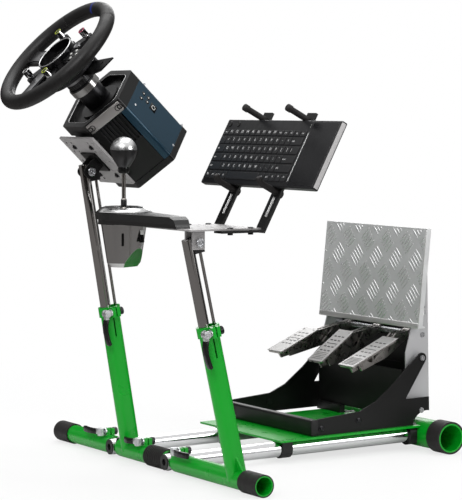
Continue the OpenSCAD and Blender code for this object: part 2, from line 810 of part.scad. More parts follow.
// Shifter: a cup under a collar, a dome ring about the gate, and a tail that reaches the tray
cup_h = 94;
band_h = 10;
collar_up = 4;
dome_h = 8;
gate_r = 38;
gate_t = 4;
gate_seat = gate_z + collar_up;
hollow_r = 30;
hollow_below = 14;
facet_turn = 25;
tail_x1 = module_x - shifter_x - 12;
module shifter_housing() placed() color(black) translate([shifter_x, shifter_y, gate_z]) difference() {
  union() {
    translate([0, 0, collar_up]) cylinder(r1 = shifter_r + 8, r2 = shifter_r - 2, h = dome_h);
    translate([0, 0, -9]) cylinder(r = shifter_r + 8, h = 9 + collar_up);
    translate([0, 0, -9 - band_h]) cylinder(r = shifter_r + 4, h = band_h);
    translate([0, 0, -cup_h]) cylinder(r1 = 33, r2 = shifter_r, h = cup_h - 9);
    translate([0, 0, -cup_h - 8]) cylinder(r1 = 27, r2 = 33, h = 8);
    intersection() {
      translate([0, 0, -tray_seat]) linear_extrude(tray_seat + collar_up)
        polygon([[0, -50], [0, 50], [tail_x1, 11], [tail_x1, -19]]);
      translate([0, 60, 0]) rotate([90, 0, 0]) linear_extrude(120) polygon([[0, -tray_seat],
        [0, collar_up], [tail_x1 - 22, collar_up], [tail_x1 - 8, collar_up - 5], [tail_x1, -tray_seat + 4],
        [tail_x1, -tray_seat]]);
    }
  }
  translate([0, 0, -gimbal_drop - hollow_below]) cylinder(r = hollow_r, h = gimbal_drop + hollow_below + 1 + collar_up);
  translate([0, 0, collar_up]) cylinder(r = gate_r, h = dome_h + 1);
  translate([0, 0, -gimbal_drop]) along_y(-gimbal_reach, gimbal_reach, gimbal_pin_d);
  rotate([0, 0, facet_turn]) translate([16, -60, -cup_h - 8]) rotate([0, 30, 0]) translate([0, 0, -20])
    cube([60, 120, 100]);
}

tray_seat = gate_z - tray_z - tray_t;
gimbal_reach = 36;
gimbal_pin_d = 6;
slot_gap = 15;
gate_side = 6;
gate_fore = 8;
module gate_slot(reach) {
  for (s = [-1, 1]) translate([0, s*reach, -1]) cylinder(d = slot_gap, h = 6);
  translate([-slot_gap/2, -reach, -1]) cube([slot_gap, 2*reach, 6]);
}

module shifter_gate() placed() color(chrome) translate([shifter_x, shifter_y, gate_seat]) difference() {
  cylinder(r = gate_r - part_gap, h = gate_t);
  across = (gimbal_drop + collar_up)*tan(gate_side);
  along = (gimbal_drop + collar_up)*tan(gate_fore);
  for (x = [-across, 0, across]) translate([x, 0, 0]) gate_slot(along);
  rotate([0, 0, 90]) gate_slot(across);
}

module shift_gimbal() placed() color(steel) translate([shifter_x, shifter_y, gate_z - gimbal_drop])
  difference() {
    union() {
      cube([40, 40, 12], center = true);
      along_y(-gimbal_reach + part_gap, gimbal_reach - part_gap, gimbal_pin_d - 2*run_gap);
    }
    cube([24, 32, 14], center = true);
    along_x(-40, 40, gimbal_pin_d);
  }

knob_neck = 32;
module shift_lever() placed() color(alu) translate([shifter_x, shifter_y, gate_z - gimbal_drop]) {
  along_x(-20, 20, gimbal_pin_d - 2*run_gap);
  cube([16, 14, 10], center = true);
  cylinder(d = stick_d, h = gimbal_drop + knob_h);
  translate([0, 0, gimbal_drop + 10]) cylinder(d = stick_d + 3, h = 20);
  translate([0, 0, gimbal_drop + knob_h]) sphere(d = knob_d);
  translate([0, 0, gimbal_drop + knob_h - knob_neck]) cylinder(d1 = 24, d2 = 0.86*knob_d, h = knob_neck - 11);
  translate([0, 0, gimbal_drop + knob_h - knob_neck - 12]) cylinder(d1 = 19, d2 = 22, h = 12.5);
}

// Keyboard holder: two arms bent from flat bar, four pegs and the keyboard
arm_slot_w = 8;
foot_l = 90;
module keyboard_arms() placed() color(black)
  for (x = arm_x) difference() {
    union() {
      translate([x - arm_w/2, tray_y1 - foot_l, tray_z - arm_t]) cube([arm_w, foot_l + 2, arm_t]);
      in_arm() translate([x - arm_w/2, 0, -arm_t]) cube([arm_w, arm_t, arm_l + arm_t]);
      for (y = [20, 64]) translate([x, tray_y1 - y, tray_z - arm_t - 4]) cylinder(d = 10, h = 5);
    }
    in_arm() for (z = [[26, 70], [100, 212]]) translate([x - arm_slot_w/2, -1, z[0]])
      cube([arm_slot_w, arm_t + 2, z[1] - z[0]]);
  }

hook_h = 9;
hook_t = 5;
knob_button_d = 16;
module keyboard_pegs() placed() color(black)
  for (x = arm_x) in_arm() {
    translate([x, 0, keyboard_up - peg_d/2]) along_y(-keyboard_t - hook_t, 0, peg_d);
    translate([x - peg_d/2, -keyboard_t - hook_t, keyboard_up - peg_d/2]) cube([peg_d, hook_t, peg_d/2 + hook_h]);
    translate([x, 0, keyboard_up + keyboard_l + peg_d/2]) along_y(-peg_l, 0, peg_d);
    translate([x, 0, keyboard_up + keyboard_l + peg_d/2]) along_y(-peg_l - 3, -peg_l + 6, peg_d + 3);
    for (z = [keyboard_up - peg_d/2, keyboard_up + keyboard_l + peg_d/2])
      translate([x, 0, z]) along_y(arm_t, arm_t + 8, knob_button_d);
  }

module keyboard() placed() color(black) in_arm()
  translate([keyboard_x0, -keyboard_t, keyboard_up]) cube([keyboard_w, keyboard_t, keyboard_l]);

// Pedal set, drawn from the top of the pedal plate
set_x0 = pedal_x - pedal_half;
set_x1 = pedal_x + pedal_half;
bracket_t = 4;
bracket_front = pedal_front + 18;
bracket_back = wheelbase + 7;
bar_h = 34;
bar_round = 5;
block_h = 57;
arm_tip = [wheelbase - 10, 140];
arm_tip_r = 11;
side_t = 3;
side_in = 15;
side_front = wheelbase - 41;
side_back = wheelbase + 17;
side_foot = 32;
tread_lean = 7;
tread_t = 3;
tread_l = 208;
tread_half = pedal_half + 12;
tread_z = tread_top - front_z - plate_lift - plate_t - 12;
tread_y = wheelbase - 2;
flange_l = 14;
axle_y = wheelbase + 2;
axle_z = 187;
axle_d = 12;
sheet_t = 2;
guard_y = side_front - 9;
guard_top = 116;
guard_foot = 16;
guard_step = 22;
side_bolts = [[arm_tip[0], arm_tip[1]], [wheelbase - 14, 30]];
function tread_front(z) = tread_y - (tread_z - z)*tan(tread_lean);
function tread_rear(z) = tread_front(z) + tread_t/cos(tread_lean);

module rear_tube_space() {
  translate([wheelbase, rear_z - front_z - plate_lift - plate_t]) circle(r = rear_d/2 + 6);
}

module bracket_outline() {
  difference() {
    union() {
      polygon([[bracket_front, 0], [bracket_back, 0], [bracket_back, block_h], [arm_tip[0] - 43, block_h],
        [arm_tip[0] + 9, arm_tip[1] - 7], [arm_tip[0] - 7, arm_tip[1] + 8], [wheelbase - 46, 124],
        [wheelbase - 82, 92], [wheelbase - 128, 58], [wheelbase - 168, 41], [bracket_front, bar_h]]);
      translate(arm_tip) circle(r = arm_tip_r);
    }
    rear_tube_space();
    translate([wheelbase - 172, 22]) circle(d = 7);
    translate([bracket_front + 8, 14]) circle(d = 5);
  }
}

module pedal_brackets() placed() color(black) on_plate() {
  profile_x(set_x0, set_x0 + bracket_t) bracket_outline();
  profile_x(set_x1 - bracket_t, set_x1) bracket_outline();
}

module pedal_front_bar() placed() color(black) on_plate() profile_x(set_x0, set_x1) difference() {
  hull() for (y = [bar_round, bracket_front - pedal_front - bar_round]) for (z = [bar_round, bar_h - bar_round])
    translate([pedal_front + y, z]) circle(r = bar_round);
  translate([pedal_front + 3, 3]) square([bracket_front - pedal_front - 6, bar_h - 6]);
}

module side_outline() {
  difference() {
    polygon([[side_front, side_foot], [side_back, side_foot], [side_back, tread_z - 11],
      [tread_rear(tread_z - 11), tread_z - 11], [tread_rear(axle_z + 20), axle_z + 20],
      [side_front, guard_top + 36]]);
    translate([tread_rear(tread_z - tread_l) - 2, tread_z - tread_l - part_gap])
      square([flange_l + 2 + part_gap, tread_t + 2*part_gap]);
    translate([side_back - 10, axle_z + 58]) circle(d = 6);
    translate([side_back - 12, axle_z + 42]) square([5, 9]);
  }
}

module pedal_sides() placed() color(alu) on_plate() difference() {
  for (s = [-1, 1]) {
    inner = s < 0 ? set_x0 + side_in : set_x1 - side_in - side_t;
    profile_x(inner, inner + side_t) side_outline();
    for (p = side_bolts) translate([0, p[0], p[1]])
      along_x(s < 0 ? set_x0 + bracket_t : set_x1 - side_in, s < 0 ? set_x0 + side_in : set_x1 - bracket_t, 12);
  }
  translate([0, axle_y, axle_z]) along_x(set_x0, set_x1, axle_d);
}

module tread_plate() placed() color(alu) on_plate() {
  low = tread_z - tread_l;
  profile_x(pedal_x - tread_half, pedal_x + tread_half)
    polygon([[tread_front(tread_z), tread_z], [tread_rear(tread_z), tread_z], [tread_rear(low + tread_t), low + tread_t],
      [tread_rear(low) + flange_l, low + tread_t], [tread_rear(low) + flange_l, low], [tread_front(low), low]]);
  profile_x(pedal_x + tread_half - tread_t, pedal_x + tread_half)
    polygon([[tread_rear(tread_z), tread_z], [tread_rear(tread_z) + 8, tread_z], [tread_rear(low) + 8, low + 1],
      [tread_rear(low + 1), low + 1]]);
}

// Guard: a sheet with returned sides and a foot step, and a closing sheet behind the axle
module pedal_guard() placed() color(black) on_plate() {
  x0 = set_x0 + side_in + side_t;
  x1 = set_x1 - side_in - side_t;
  difference() {
    translate([x0, guard_y, guard_foot]) cube([x1 - x0, guard_step + sheet_t, guard_top - guard_foot]);
    translate([x0 + sheet_t, guard_y + sheet_t, guard_foot - 1])
      cube([x1 - x0 - 2*sheet_t, guard_step + 1, guard_top]);
  }
  translate([x0 + 6, guard_y - 10, 0]) cube([90, 14, guard_foot + 1]);
  translate([x0, side_back - sheet_t, guard_top]) cube([x1 - x0, sheet_t, axle_z + 40 - guard_top]);
}

// Axle, with the heads of the bolts that hold the side plates to the brackets
head_d = 11;
head_t = 3;
module pedal_axle() placed() color(steel) on_plate() {
  translate([0, axle_y, axle_z]) along_x(set_x0 + side_in, set_x1 - side_in, axle_d);
  for (p = side_bolts) translate([0, p[0], p[1]]) {
    along_x(set_x0 - head_t, set_x0, head_d);
    along_x(set_x1, set_x1 + head_t, head_d);
  }
}

// Pedal: a slotted face on a ribbed, pocketed arm that turns on the axle
face_w = 56;
face_t = 4;
face_round = 9;
boss_d = 20;
web_t = 5;
flange_w = 24;
module face_outline(w, l) {
  hull() for (x = [face_round - w/2, w/2 - face_round]) for (y = [face_round, l - face_round])
    translate([x, y]) circle(r = face_round);
}

function inset(p, c) = p + 0.3*(c - p);
module pocket(a, b, c) {
  mid = (a + b + c)/3;
  polygon([inset(a, mid), inset(b, mid), inset(c, mid)]);
}

module pedal(x, tip, top) {
  face_l = norm(top - tip);
  up = (top - tip)/face_l;
  rise = atan2(up[1], up[0]);
  under_face = [up[1], -up[0]]*face_t/2;
  toe = tip + 26*up + under_face;
  neck = top - 12*up + under_face;
  knee = [axle_y - 40, axle_z + 2];
  heel = tip + [18, -15];
  belly = (heel + [axle_y, axle_z])/2 + [8, -10];
  difference() {
    union() {
      translate([x, tip[0], tip[1]]) rotate([rise, 0, 0]) translate([0, 0, -face_t])
        linear_extrude(face_t) difference() {
          face_outline(face_w, face_l);
          for (u = [0.22, 0.72]) for (i = [-1:1])
            translate([i*14 - 4, u*face_l]) square([8, 3.5]);
        }
      profile_x(x - web_t/2, x + web_t/2)
        polygon([tip + 8*up + under_face, top - 4*up + under_face, knee,
          [axle_y, axle_z + boss_d/2 - 1], [axle_y, axle_z - boss_d/2 + 1], belly, heel]);
      for (w = [-1, 1]) translate([x + w*(flange_w - web_t)/2, 0, 0])
        profile_x(-web_t/2, web_t/2) difference() {
          polygon([toe, neck, knee, [axle_y - 6, axle_z + 7], [axle_y - 6, axle_z - 6], belly, heel + [16, 3]]);
          pocket(toe, neck, (heel + belly)/2);
          pocket(neck, knee, belly);
        }
      for (u = [0.3, 0.62]) profile_x(x - flange_w/2, x + flange_w/2)
        translate(heel*(1 - u) + [axle_y, axle_z - 8]*u) square([3, 16]);
      translate([0, axle_y, axle_z]) along_x(x - flange_w/2, x + flange_w/2, boss_d);
    }
    translate([0, axle_y, axle_z]) along_x(x - flange_w, x + flange_w, axle_d + 2*run_gap);
  }
}

clutch_tip = [wheelbase - 196, 141];
clutch_top = [wheelbase - 97, 184];
brake_tip = [wheelbase - 165, 128];
brake_top = [wheelbase - 80, 188];
throttle_tip = [wheelbase - 160, 128];
throttle_top = [wheelbase - 43, 180];
module clutch_pedal() placed() color(alu) on_plate() pedal(pedal_x - pedal_pitch, clutch_tip, clutch_top);
module brake_pedal() placed() color(alu) on_plate() pedal(pedal_x, brake_tip, brake_top);
module throttle_pedal() placed() color(alu) on_plate() pedal(pedal_x + pedal_pitch, throttle_tip, throttle_top);

chrome_tubes();
cross_tubes();
tube_plugs();
rear_tube();
rear_caps();
tube_bushings();
pedal_plate();
plate_clips();
left_sleeve();
left_foot_cap();
left_clamp_bolt();
left_lever();
pedal_brackets();
pedal_front_bar();
pedal_sides();
tread_plate();
pedal_guard();
pedal_axle();
clutch_pedal();
brake_pedal();
throttle_pedal();
main_post();
ribbed_foot_cap();
main_clamp_bolts();
fold_lever();
main_post_lever();
main_inner_tube();
main_head();
plate_hinge();
wheel_plate();
base_bezel();
base_heat_sink();
base_side_panels();
base_rear_frame();
base_front_bar();
quick_release();
wheel_hub();
wheel_rim();
wheel_knobs();
paddle_left();
paddle_right();
module_post();
module_foot_cap();
module_clamp_bolts();
module_sleeve_lever();
module_post_lever();
module_inner_tube();
tray_head();
tray_plate();
shifter_housing();
shifter_gate();
shift_gimbal();
shift_lever();
keyboard_arms();
keyboard_pegs();
keyboard();
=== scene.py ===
# %% [markdown]
# # A racing wheel stand, dressed for its portrait
# The stand's tubes, plates, joints and devices come in as a fixed frame of exact parts. This script gives
# them their finishes and adds the small things that make them look made: stitches on the wheel, keys on the
# keyboard, raised bars on the tread plate. Everything is in metres, with Z up and Y towards the pedals.

# %% Load the frame
import math
import json
import bpy
from mathutils import Vector, Matrix


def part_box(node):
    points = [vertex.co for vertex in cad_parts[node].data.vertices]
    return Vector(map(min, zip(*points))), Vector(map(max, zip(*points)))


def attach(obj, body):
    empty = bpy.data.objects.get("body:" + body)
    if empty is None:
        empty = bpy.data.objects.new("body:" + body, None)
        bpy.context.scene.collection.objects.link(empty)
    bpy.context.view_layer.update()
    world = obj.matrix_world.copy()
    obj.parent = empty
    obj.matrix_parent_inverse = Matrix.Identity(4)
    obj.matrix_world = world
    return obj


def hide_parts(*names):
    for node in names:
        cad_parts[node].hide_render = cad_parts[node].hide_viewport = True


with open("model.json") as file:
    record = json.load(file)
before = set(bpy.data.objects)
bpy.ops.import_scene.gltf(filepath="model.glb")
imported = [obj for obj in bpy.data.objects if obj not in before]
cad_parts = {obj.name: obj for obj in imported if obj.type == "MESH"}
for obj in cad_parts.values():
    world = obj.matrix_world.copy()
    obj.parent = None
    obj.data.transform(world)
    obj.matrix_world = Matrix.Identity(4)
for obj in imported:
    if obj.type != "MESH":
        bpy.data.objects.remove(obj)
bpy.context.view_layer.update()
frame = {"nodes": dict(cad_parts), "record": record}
print("nodes in the frame:", len(frame["nodes"]))

# %% [markdown]
# ## Where things are
# The stand is measured from its front tube: the middle between the two chrome floor tubes is zero sideways,
# and the front tube's axis is zero forward. Reading both from the frame keeps every added piece in place.

# %% Zero point and millimetres
def middle(node):
    """Middle of a node's box."""
    low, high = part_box(node)
    return (Vector(low) + Vector(high))/2

ZERO = Vector((middle("chrome_tubes").x, middle("left_sleeve").y, 0))

def at(x, y, z):
    """A place given in millimetres from the stand's zero point."""
    return ZERO + Vector((x, y, z))/1000

print("zero point:", [round(v, 4) for v in ZERO])

# %% [markdown]
# ## The camera
# The picture was taken from far away with a long lens: parallel tubes stay almost parallel. The lens and the
# place were worked out from tubes of known size, so the render lines up with the picture.

# %% Camera
PICTURE_HEIGHT = 500
FOCAL_PIXELS = 2250
SENSOR_HEIGHT = 24
AZIMUTH = math.radians(59.3)
PITCH = math.radians(3.72)

lens = bpy.data.cameras.new("view_camera")
lens.sensor_fit = "VERTICAL"
lens.sensor_height = SENSOR_HEIGHT
lens.lens = SENSOR_HEIGHT*FOCAL_PIXELS/PICTURE_HEIGHT
camera = bpy.data.objects.new("view_camera", lens)
bpy.context.scene.collection.objects.link(camera)
camera.location = at(3962.0, -2151.6, 725.8)
camera.rotation_euler = (math.pi/2 - PITCH, 0, AZIMUTH)
bpy.context.scene.camera = camera
print("lens", round(lens.lens, 1), "mm")

# %% [markdown]
# ## Floor and light
# A pale floor and a pale world keep the picture plain. Chrome and gloss only look like themselves when they
# have light and dark to mirror, so the lights are broad panels, and dark cards that only gloss can see stand
# round the stand.

# %% Helpers for materials
def new_material(name):
    """A material with an empty node tree but for its shader; gives the material, nodes, links and shader."""
    material = bpy.data.materials.new(name)
    material.use_nodes = True
    tree = material.node_tree
    return material, tree.nodes, tree.links, tree.nodes["Principled BSDF"]

def place_coordinates(nodes, links, scale=(1, 1, 1), turn=(0, 0, 0), offset=(0, 0, 0)):
    """Object coordinates through a Mapping node."""
    source = nodes.new("ShaderNodeTexCoord")
    mapping = nodes.new("ShaderNodeMapping")
    mapping.inputs["Scale"].default_value = scale
    mapping.inputs["Rotation"].default_value = turn
    mapping.inputs["Location"].default_value = offset
    links.new(source.outputs["Object"], mapping.inputs["Vector"])
    return mapping.outputs["Vector"]

def noise(nodes, links, vector, scale, detail=3.0, rough=0.5):
    """A noise texture's value."""
    node = nodes.new("ShaderNodeTexNoise")
    node.inputs["Scale"].default_value = scale
    node.inputs["Detail"].default_value = detail
    node.inputs["Roughness"].default_value = rough
    links.new(vector, node.inputs["Vector"])
    return node.outputs["Fac"]

def ramp(nodes, links, value, stops):
    """A colour ramp with stops of (place, grey or colour)."""
    node = nodes.new("ShaderNodeValToRGB")
    elements = node.color_ramp.elements
    while len(elements) < len(stops):
        elements.new(0.5)
    for element, (place, colour) in zip(elements, stops):
        element.position = place
        tone = colour if isinstance(colour, tuple) else (colour, colour, colour)
        element.color = (*tone, 1)
    links.new(value, node.inputs["Fac"])
    return node.outputs["Color"]

def bump(nodes, links, shader, height, depth, strength=1.0, edge=0.0007):
    """Feeds a height into the shader's normal, over edges that look slightly rounded."""
    soft_edge = nodes.new("ShaderNodeBevel")
    soft_edge.samples = 4
    soft_edge.inputs["Radius"].default_value = edge
    node = nodes.new("ShaderNodeBump")
    node.inputs["Strength"].default_value = strength
    node.inputs["Distance"].default_value = depth
    links.new(soft_edge.outputs["Normal"], node.inputs["Normal"])
    links.new(height, node.inputs["Height"])
    links.new(node.outputs["Normal"], shader.inputs["Normal"])

def map_range(nodes, links, value, near, far, start=0.0, end=1.0):
    """A value mapped from near and far to start and end."""
    node = nodes.new("ShaderNodeMapRange")
    for name, number in zip(("From Min", "From Max", "To Min", "To Max"), (near, far, start, end)):
        node.inputs[name].default_value = number
    links.new(value, node.inputs["Value"])
    return node.outputs["Result"]

def sum_of(nodes, links, kind, *values):
    """One step of arithmetic on numbers or on other nodes' values."""
    node = nodes.new("ShaderNodeMath")
    node.operation = kind
    for socket, value in zip(node.inputs, values):
        if isinstance(value, (int, float)):
            socket.default_value = value
        else:
            links.new(value, socket)
    return node.outputs[0]

def blend(nodes, links, share, first, second):
    """Two shaders mixed by a share."""
    node = nodes.new("ShaderNodeMixShader")
    for socket, value in zip(node.inputs, (share, first, second)):
        links.new(value, socket)
    return node.outputs[0]

def finish_like(material, *nodes):
    """Gives CAD nodes this material."""
    for name in nodes:
        mesh = frame["nodes"][name].data
        mesh.materials.clear()
        mesh.materials.append(material)

# %% Floor
FLOOR_SIZE = 30
bpy.ops.object.select_all(action="DESELECT")
bpy.ops.mesh.primitive_plane_add(size=FLOOR_SIZE, location=(0, 0, 0))
floor = bpy.context.object
floor.name = "floor"
white, nodes, links, shader = new_material("white_floor")
shader.inputs["Base Color"].default_value = (0.86, 0.86, 0.86, 1)
shader.inputs["Roughness"].default_value = 0.75
glow = nodes.new("ShaderNodeEmission")
glow.inputs["Color"].default_value = (1, 1, 1, 1)
unlit = nodes.new("ShaderNodeEmission")
unlit.inputs["Color"].default_value = (0.17, 0.16, 0.155, 1)
path = nodes.new("ShaderNodeLightPath")
place = nodes.new("ShaderNodeTexCoord")
reach = nodes.new("ShaderNodeVectorMath")
reach.operation = "LENGTH"
links.new(place.outputs["Object"], reach.inputs[0])
distance = reach.outputs["Value"]

# Seen directly the floor turns white away from the stand; seen in a mirror it darkens there
whiter = map_range(nodes, links, distance, 0.7, 1.8, 0.72, 1.0)
share = sum_of(nodes, links, "MULTIPLY", path.outputs["Is Camera Ray"], whiter)
seen_floor = blend(nodes, links, share, shader.outputs[0], glow.outputs[0])
darker = map_range(nodes, links, distance, 0.42, 0.95, 0.0, 0.93)
share = sum_of(nodes, links, "MULTIPLY", darker, path.outputs["Is Glossy Ray"])
links.new(blend(nodes, links, share, seen_floor, unlit.outputs[0]), nodes["Material Output"].inputs["Surface"])
floor.data.materials.append(white)
print("floor", FLOOR_SIZE, "m across")

# %% Dark cards that only gloss can see
card_cloth, _, _, card_shader = new_material("card_cloth")
card_shader.inputs["Base Color"].default_value = (0.012, 0.011, 0.010, 1)
card_shader.inputs["Roughness"].default_value = 1.0
card_shader.inputs["Specular IOR Level"].default_value = 0.0
CARD_HEIGHT = 1.6
CARD_MIDDLE = 0.85
CARDS = ((-70, 2.0, 1.45), (-30, 2.0, 1.45), (62, 2.4, 1.0), (178, 2.2, 1.6))
for number, (bearing, distance, width) in enumerate(CARDS):
    bpy.ops.mesh.primitive_plane_add(size=1)
    card = bpy.context.object
    card.name = f"dark_card_{number}"
    card.data.transform(Matrix.Rotation(math.radians(bearing), 4, "Z")
                        @ Matrix.Translation((distance, 0, CARD_MIDDLE))
                        @ Matrix.Rotation(math.radians(90), 4, "Y")
                        @ Matrix.Diagonal((CARD_HEIGHT, width, 1, 1)))
    card.visible_camera = card.visible_diffuse = card.visible_shadow = card.visible_transmission = False
    card.data.materials.append(card_cloth)
print("dark cards:", len(CARDS))

# %% World
world = bpy.data.worlds.new("studio")
bpy.context.scene.world = world
world.use_nodes = True
tree = world.node_tree
backdrop = tree.nodes["Background"]
paths = tree.nodes.new("ShaderNodeLightPath")
backdrop.inputs["Color"].default_value = (1, 1, 1, 1)

def world_sum(kind, *values):
    """One step of arithmetic in the world's node tree."""
    return sum_of(tree.nodes, tree.links, kind, *values)

# What gloss mirrors: pale above and in four upright strips, dark round the horizon like a studio's flags
ROOM_LEVEL = 0.42
STRIP_LEVEL = 0.95
STRIPS = ((-78, 16), (-8, 9), (40, 20), (150, 24))
heading = tree.nodes.new("ShaderNodeTexCoord")
parts = tree.nodes.new("ShaderNodeSeparateXYZ")
tree.links.new(heading.outputs["Generated"], parts.inputs[0])
height = tree.nodes.new("ShaderNodeValToRGB")
for place, tone in ((0.36, 0.55), (0.5, 0.10), (0.66, 0.16), (0.80, 1.0)):
    stop = height.color_ramp.elements.new(place)
    stop.color = (tone, tone, tone, 1)
tree.links.new(world_sum("MULTIPLY_ADD", parts.outputs["Z"], 0.5, 0.5), height.inputs["Fac"])
compass = world_sum("ARCTAN2", parts.outputs["Y"], parts.outputs["X"])
mirrored = height.outputs["Color"]
for bearing, width in STRIPS:
    off = world_sum("ABSOLUTE", world_sum("SUBTRACT", compass, math.radians(bearing)))
    inside = world_sum("LESS_THAN", off, math.radians(width)/2)
    mirrored = world_sum("MAXIMUM", mirrored, world_sum("MULTIPLY", inside, STRIP_LEVEL))
gloss = world_sum("MULTIPLY", world_sum("SUBTRACT", mirrored, ROOM_LEVEL), paths.outputs["Is Glossy Ray"])
seen = world_sum("MAXIMUM", paths.outputs["Is Camera Ray"], paths.outputs["Is Transmission Ray"])
strength = world_sum("MAXIMUM", world_sum("ADD", gloss, ROOM_LEVEL), seen)
tree.links.new(strength, backdrop.inputs["Strength"])
bpy.context.scene.view_settings.view_transform = "Standard"
print("world ready")

# %% Light panels
def light_panel(name, place, target, size, watts):
    """A square area light at a place, turned to face a target."""
    data = bpy.data.lights.new(name, "AREA")
    data.shape = "SQUARE"
    data.size = size
    data.energy = watts
    panel = bpy.data.objects.new(name, data)
    bpy.context.scene.collection.objects.link(panel)
    panel.location = place
    panel.rotation_euler = (Vector(target) - Vector(place)).to_track_quat("-Z", "Y").to_euler()
    return panel

AIM = (0, 0, 0.45)
light_panel("key_panel", (2.2, -2.6, 2.8), AIM, 1.8, 75)
light_panel("side_panel", (3.0, 1.8, 1.6), AIM, 1.4, 34)
light_panel("top_panel", (-0.4, 0.2, 3.2), AIM, 2.4, 48)
light_panel("back_panel", (-2.6, 1.6, 2.0), AIM, 1.6, 26)
print("four light panels")

# %% [markdown]
# ## Finishes
# Each finish below is a small node tree read from Object coordinates, so the grain has one real size on
# every piece. The colour stays on the shader's own socket where it is even, and noise only moves the
# roughness and the bump, which is how paint, plating and rubber differ at arm's length.

# %% Powder coat
def powder_coat(name, colour, roughness=0.36, coat=0.35, grain=1500, depth=0.00003, metal=0.0,
                gleam=0.5):
    """Sprayed and baked paint: even colour, a thin gloss and a fine orange peel."""
    material, nodes, links, shader = new_material(name)
    where = place_coordinates(nodes, links)
    shader.inputs["Base Color"].default_value = (*colour, 1)
    shader.inputs["Coat Weight"].default_value = coat
    shader.inputs["Metallic"].default_value = metal
    shader.inputs["Coat Roughness"].default_value = 0.16
    shader.inputs["Specular IOR Level"].default_value = gleam
    patches = noise(nodes, links, where, 25, 2)
    tone = ramp(nodes, links, patches, [(0.3, roughness - 0.04), (0.7, roughness + 0.05)])
    links.new(tone, shader.inputs["Roughness"])
    bump(nodes, links, shader, noise(nodes, links, where, grain, 2), depth, 0.5)
    return material

green_paint = powder_coat("green_powder_coat", (0.0005, 0.33, 0.016), 0.30, 0.12, gleam=0.35)
black_paint = powder_coat("black_powder_coat", (0.006, 0.006, 0.006), 0.40, 0.03, gleam=0.25)
grey_paint = powder_coat("grey_plate_coat", (0.30, 0.29, 0.29), 0.42, 0.15)
blue_paint = powder_coat("blue_panel_coat", (0.012, 0.045, 0.075), 0.34, 0.3, metal=0.6)
base_black = powder_coat("servo_black_coat", (0.005, 0.005, 0.005), 0.36, 0.08, gleam=0.3)
print("powder coats ready")

# %% Plated and bare metal
def bare_metal(name, colour, roughness, streak=(1, 1, 1), spread=0.05, depth=0.00001, metal=1.0):
    """Metal with fine scratches drawn out along the axis whose streak scale is smallest."""
    material, nodes, links, shader = new_material(name)
    where = place_coordinates(nodes, links, scale=streak)
    shader.inputs["Base Color"].default_value = (*colour, 1)
    shader.inputs["Metallic"].default_value = metal
    lines = noise(nodes, links, where, 60, 4, 0.6)
    tone = ramp(nodes, links, lines, [(0.25, max(roughness - spread, 0.02)), (0.75, roughness + spread)])
    links.new(tone, shader.inputs["Roughness"])
    bump(nodes, links, shader, lines, depth, 0.4)
    return material

chrome = bare_metal("chrome_plating", (0.66, 0.66, 0.67), 0.10, (0.4, 0.4, 0.4), 0.03, 0.000002)
dark_chrome = bare_metal("dark_chrome", (0.50, 0.485, 0.475), 0.08, (0.4, 0.4, 0.4), 0.03, 0.000002)
bolt_steel = bare_metal("zinc_steel", (0.58, 0.59, 0.61), 0.28, (3, 3, 3), 0.08)
brushed_metal = bare_metal("brushed_aluminium", (0.70, 0.71, 0.72), 0.34, (2, 30, 30), 0.08, 0.00002)
cast_metal = bare_metal("cast_aluminium", (0.66, 0.67, 0.68), 0.42, (6, 6, 6), 0.10, 0.00005)
black_metal = bare_metal("black_anodised", (0.035, 0.035, 0.037), 0.35, (2, 2, 20), 0.06)
tread_metal = bare_metal("tread_aluminium", (0.72, 0.73, 0.73), 0.40, (0.5, 0.5, 0.5), 0.10, 0.0008,
                         metal=0.55)
pedal_cast = bare_metal("polished_casting", (0.34, 0.325, 0.31), 0.30, (1.2, 1.2, 1.2), 0.14, 0.0002)
side_metal = bare_metal("side_aluminium", (0.52, 0.52, 0.53), 0.46, (2, 2, 20), 0.06, 0.00002, metal=0.5)
print("metals ready")

# %% Rubber and plastic
def soft_black(name, colour, roughness, grain, depth, spread=0.06):
    """Rubber or moulded plastic: dark, rough, with a fine sandy grain."""
    material, nodes, links, shader = new_material(name)
    where = place_coordinates(nodes, links)
    shader.inputs["Base Color"].default_value = (*colour, 1)
    shader.inputs["Specular IOR Level"].default_value = 0.28
    patches = noise(nodes, links, where, 60, 3)
    tone = ramp(nodes, links, patches, [(0.3, roughness - spread), (0.7, roughness + spread)])
    links.new(tone, shader.inputs["Roughness"])
    bump(nodes, links, shader, noise(nodes, links, where, grain, 3), depth, 0.6)
    return material

rubber = soft_black("foot_rubber", (0.016, 0.0145, 0.0145), 0.62, 1800, 0.00006)
plug_plastic = soft_black("black_nylon", (0.012, 0.012, 0.012), 0.45, 2200, 0.00003)
lever_plastic = soft_black("lever_grip", (0.008, 0.008, 0.008), 0.26, 2500, 0.00001)
keyboard_plastic = soft_black("keyboard_case", (0.011, 0.011, 0.012), 0.40, 3000, 0.00002)
leather = soft_black("rim_leather", (0.010, 0.0095, 0.0095), 0.42, 1300, 0.00010)
print("soft finishes ready")

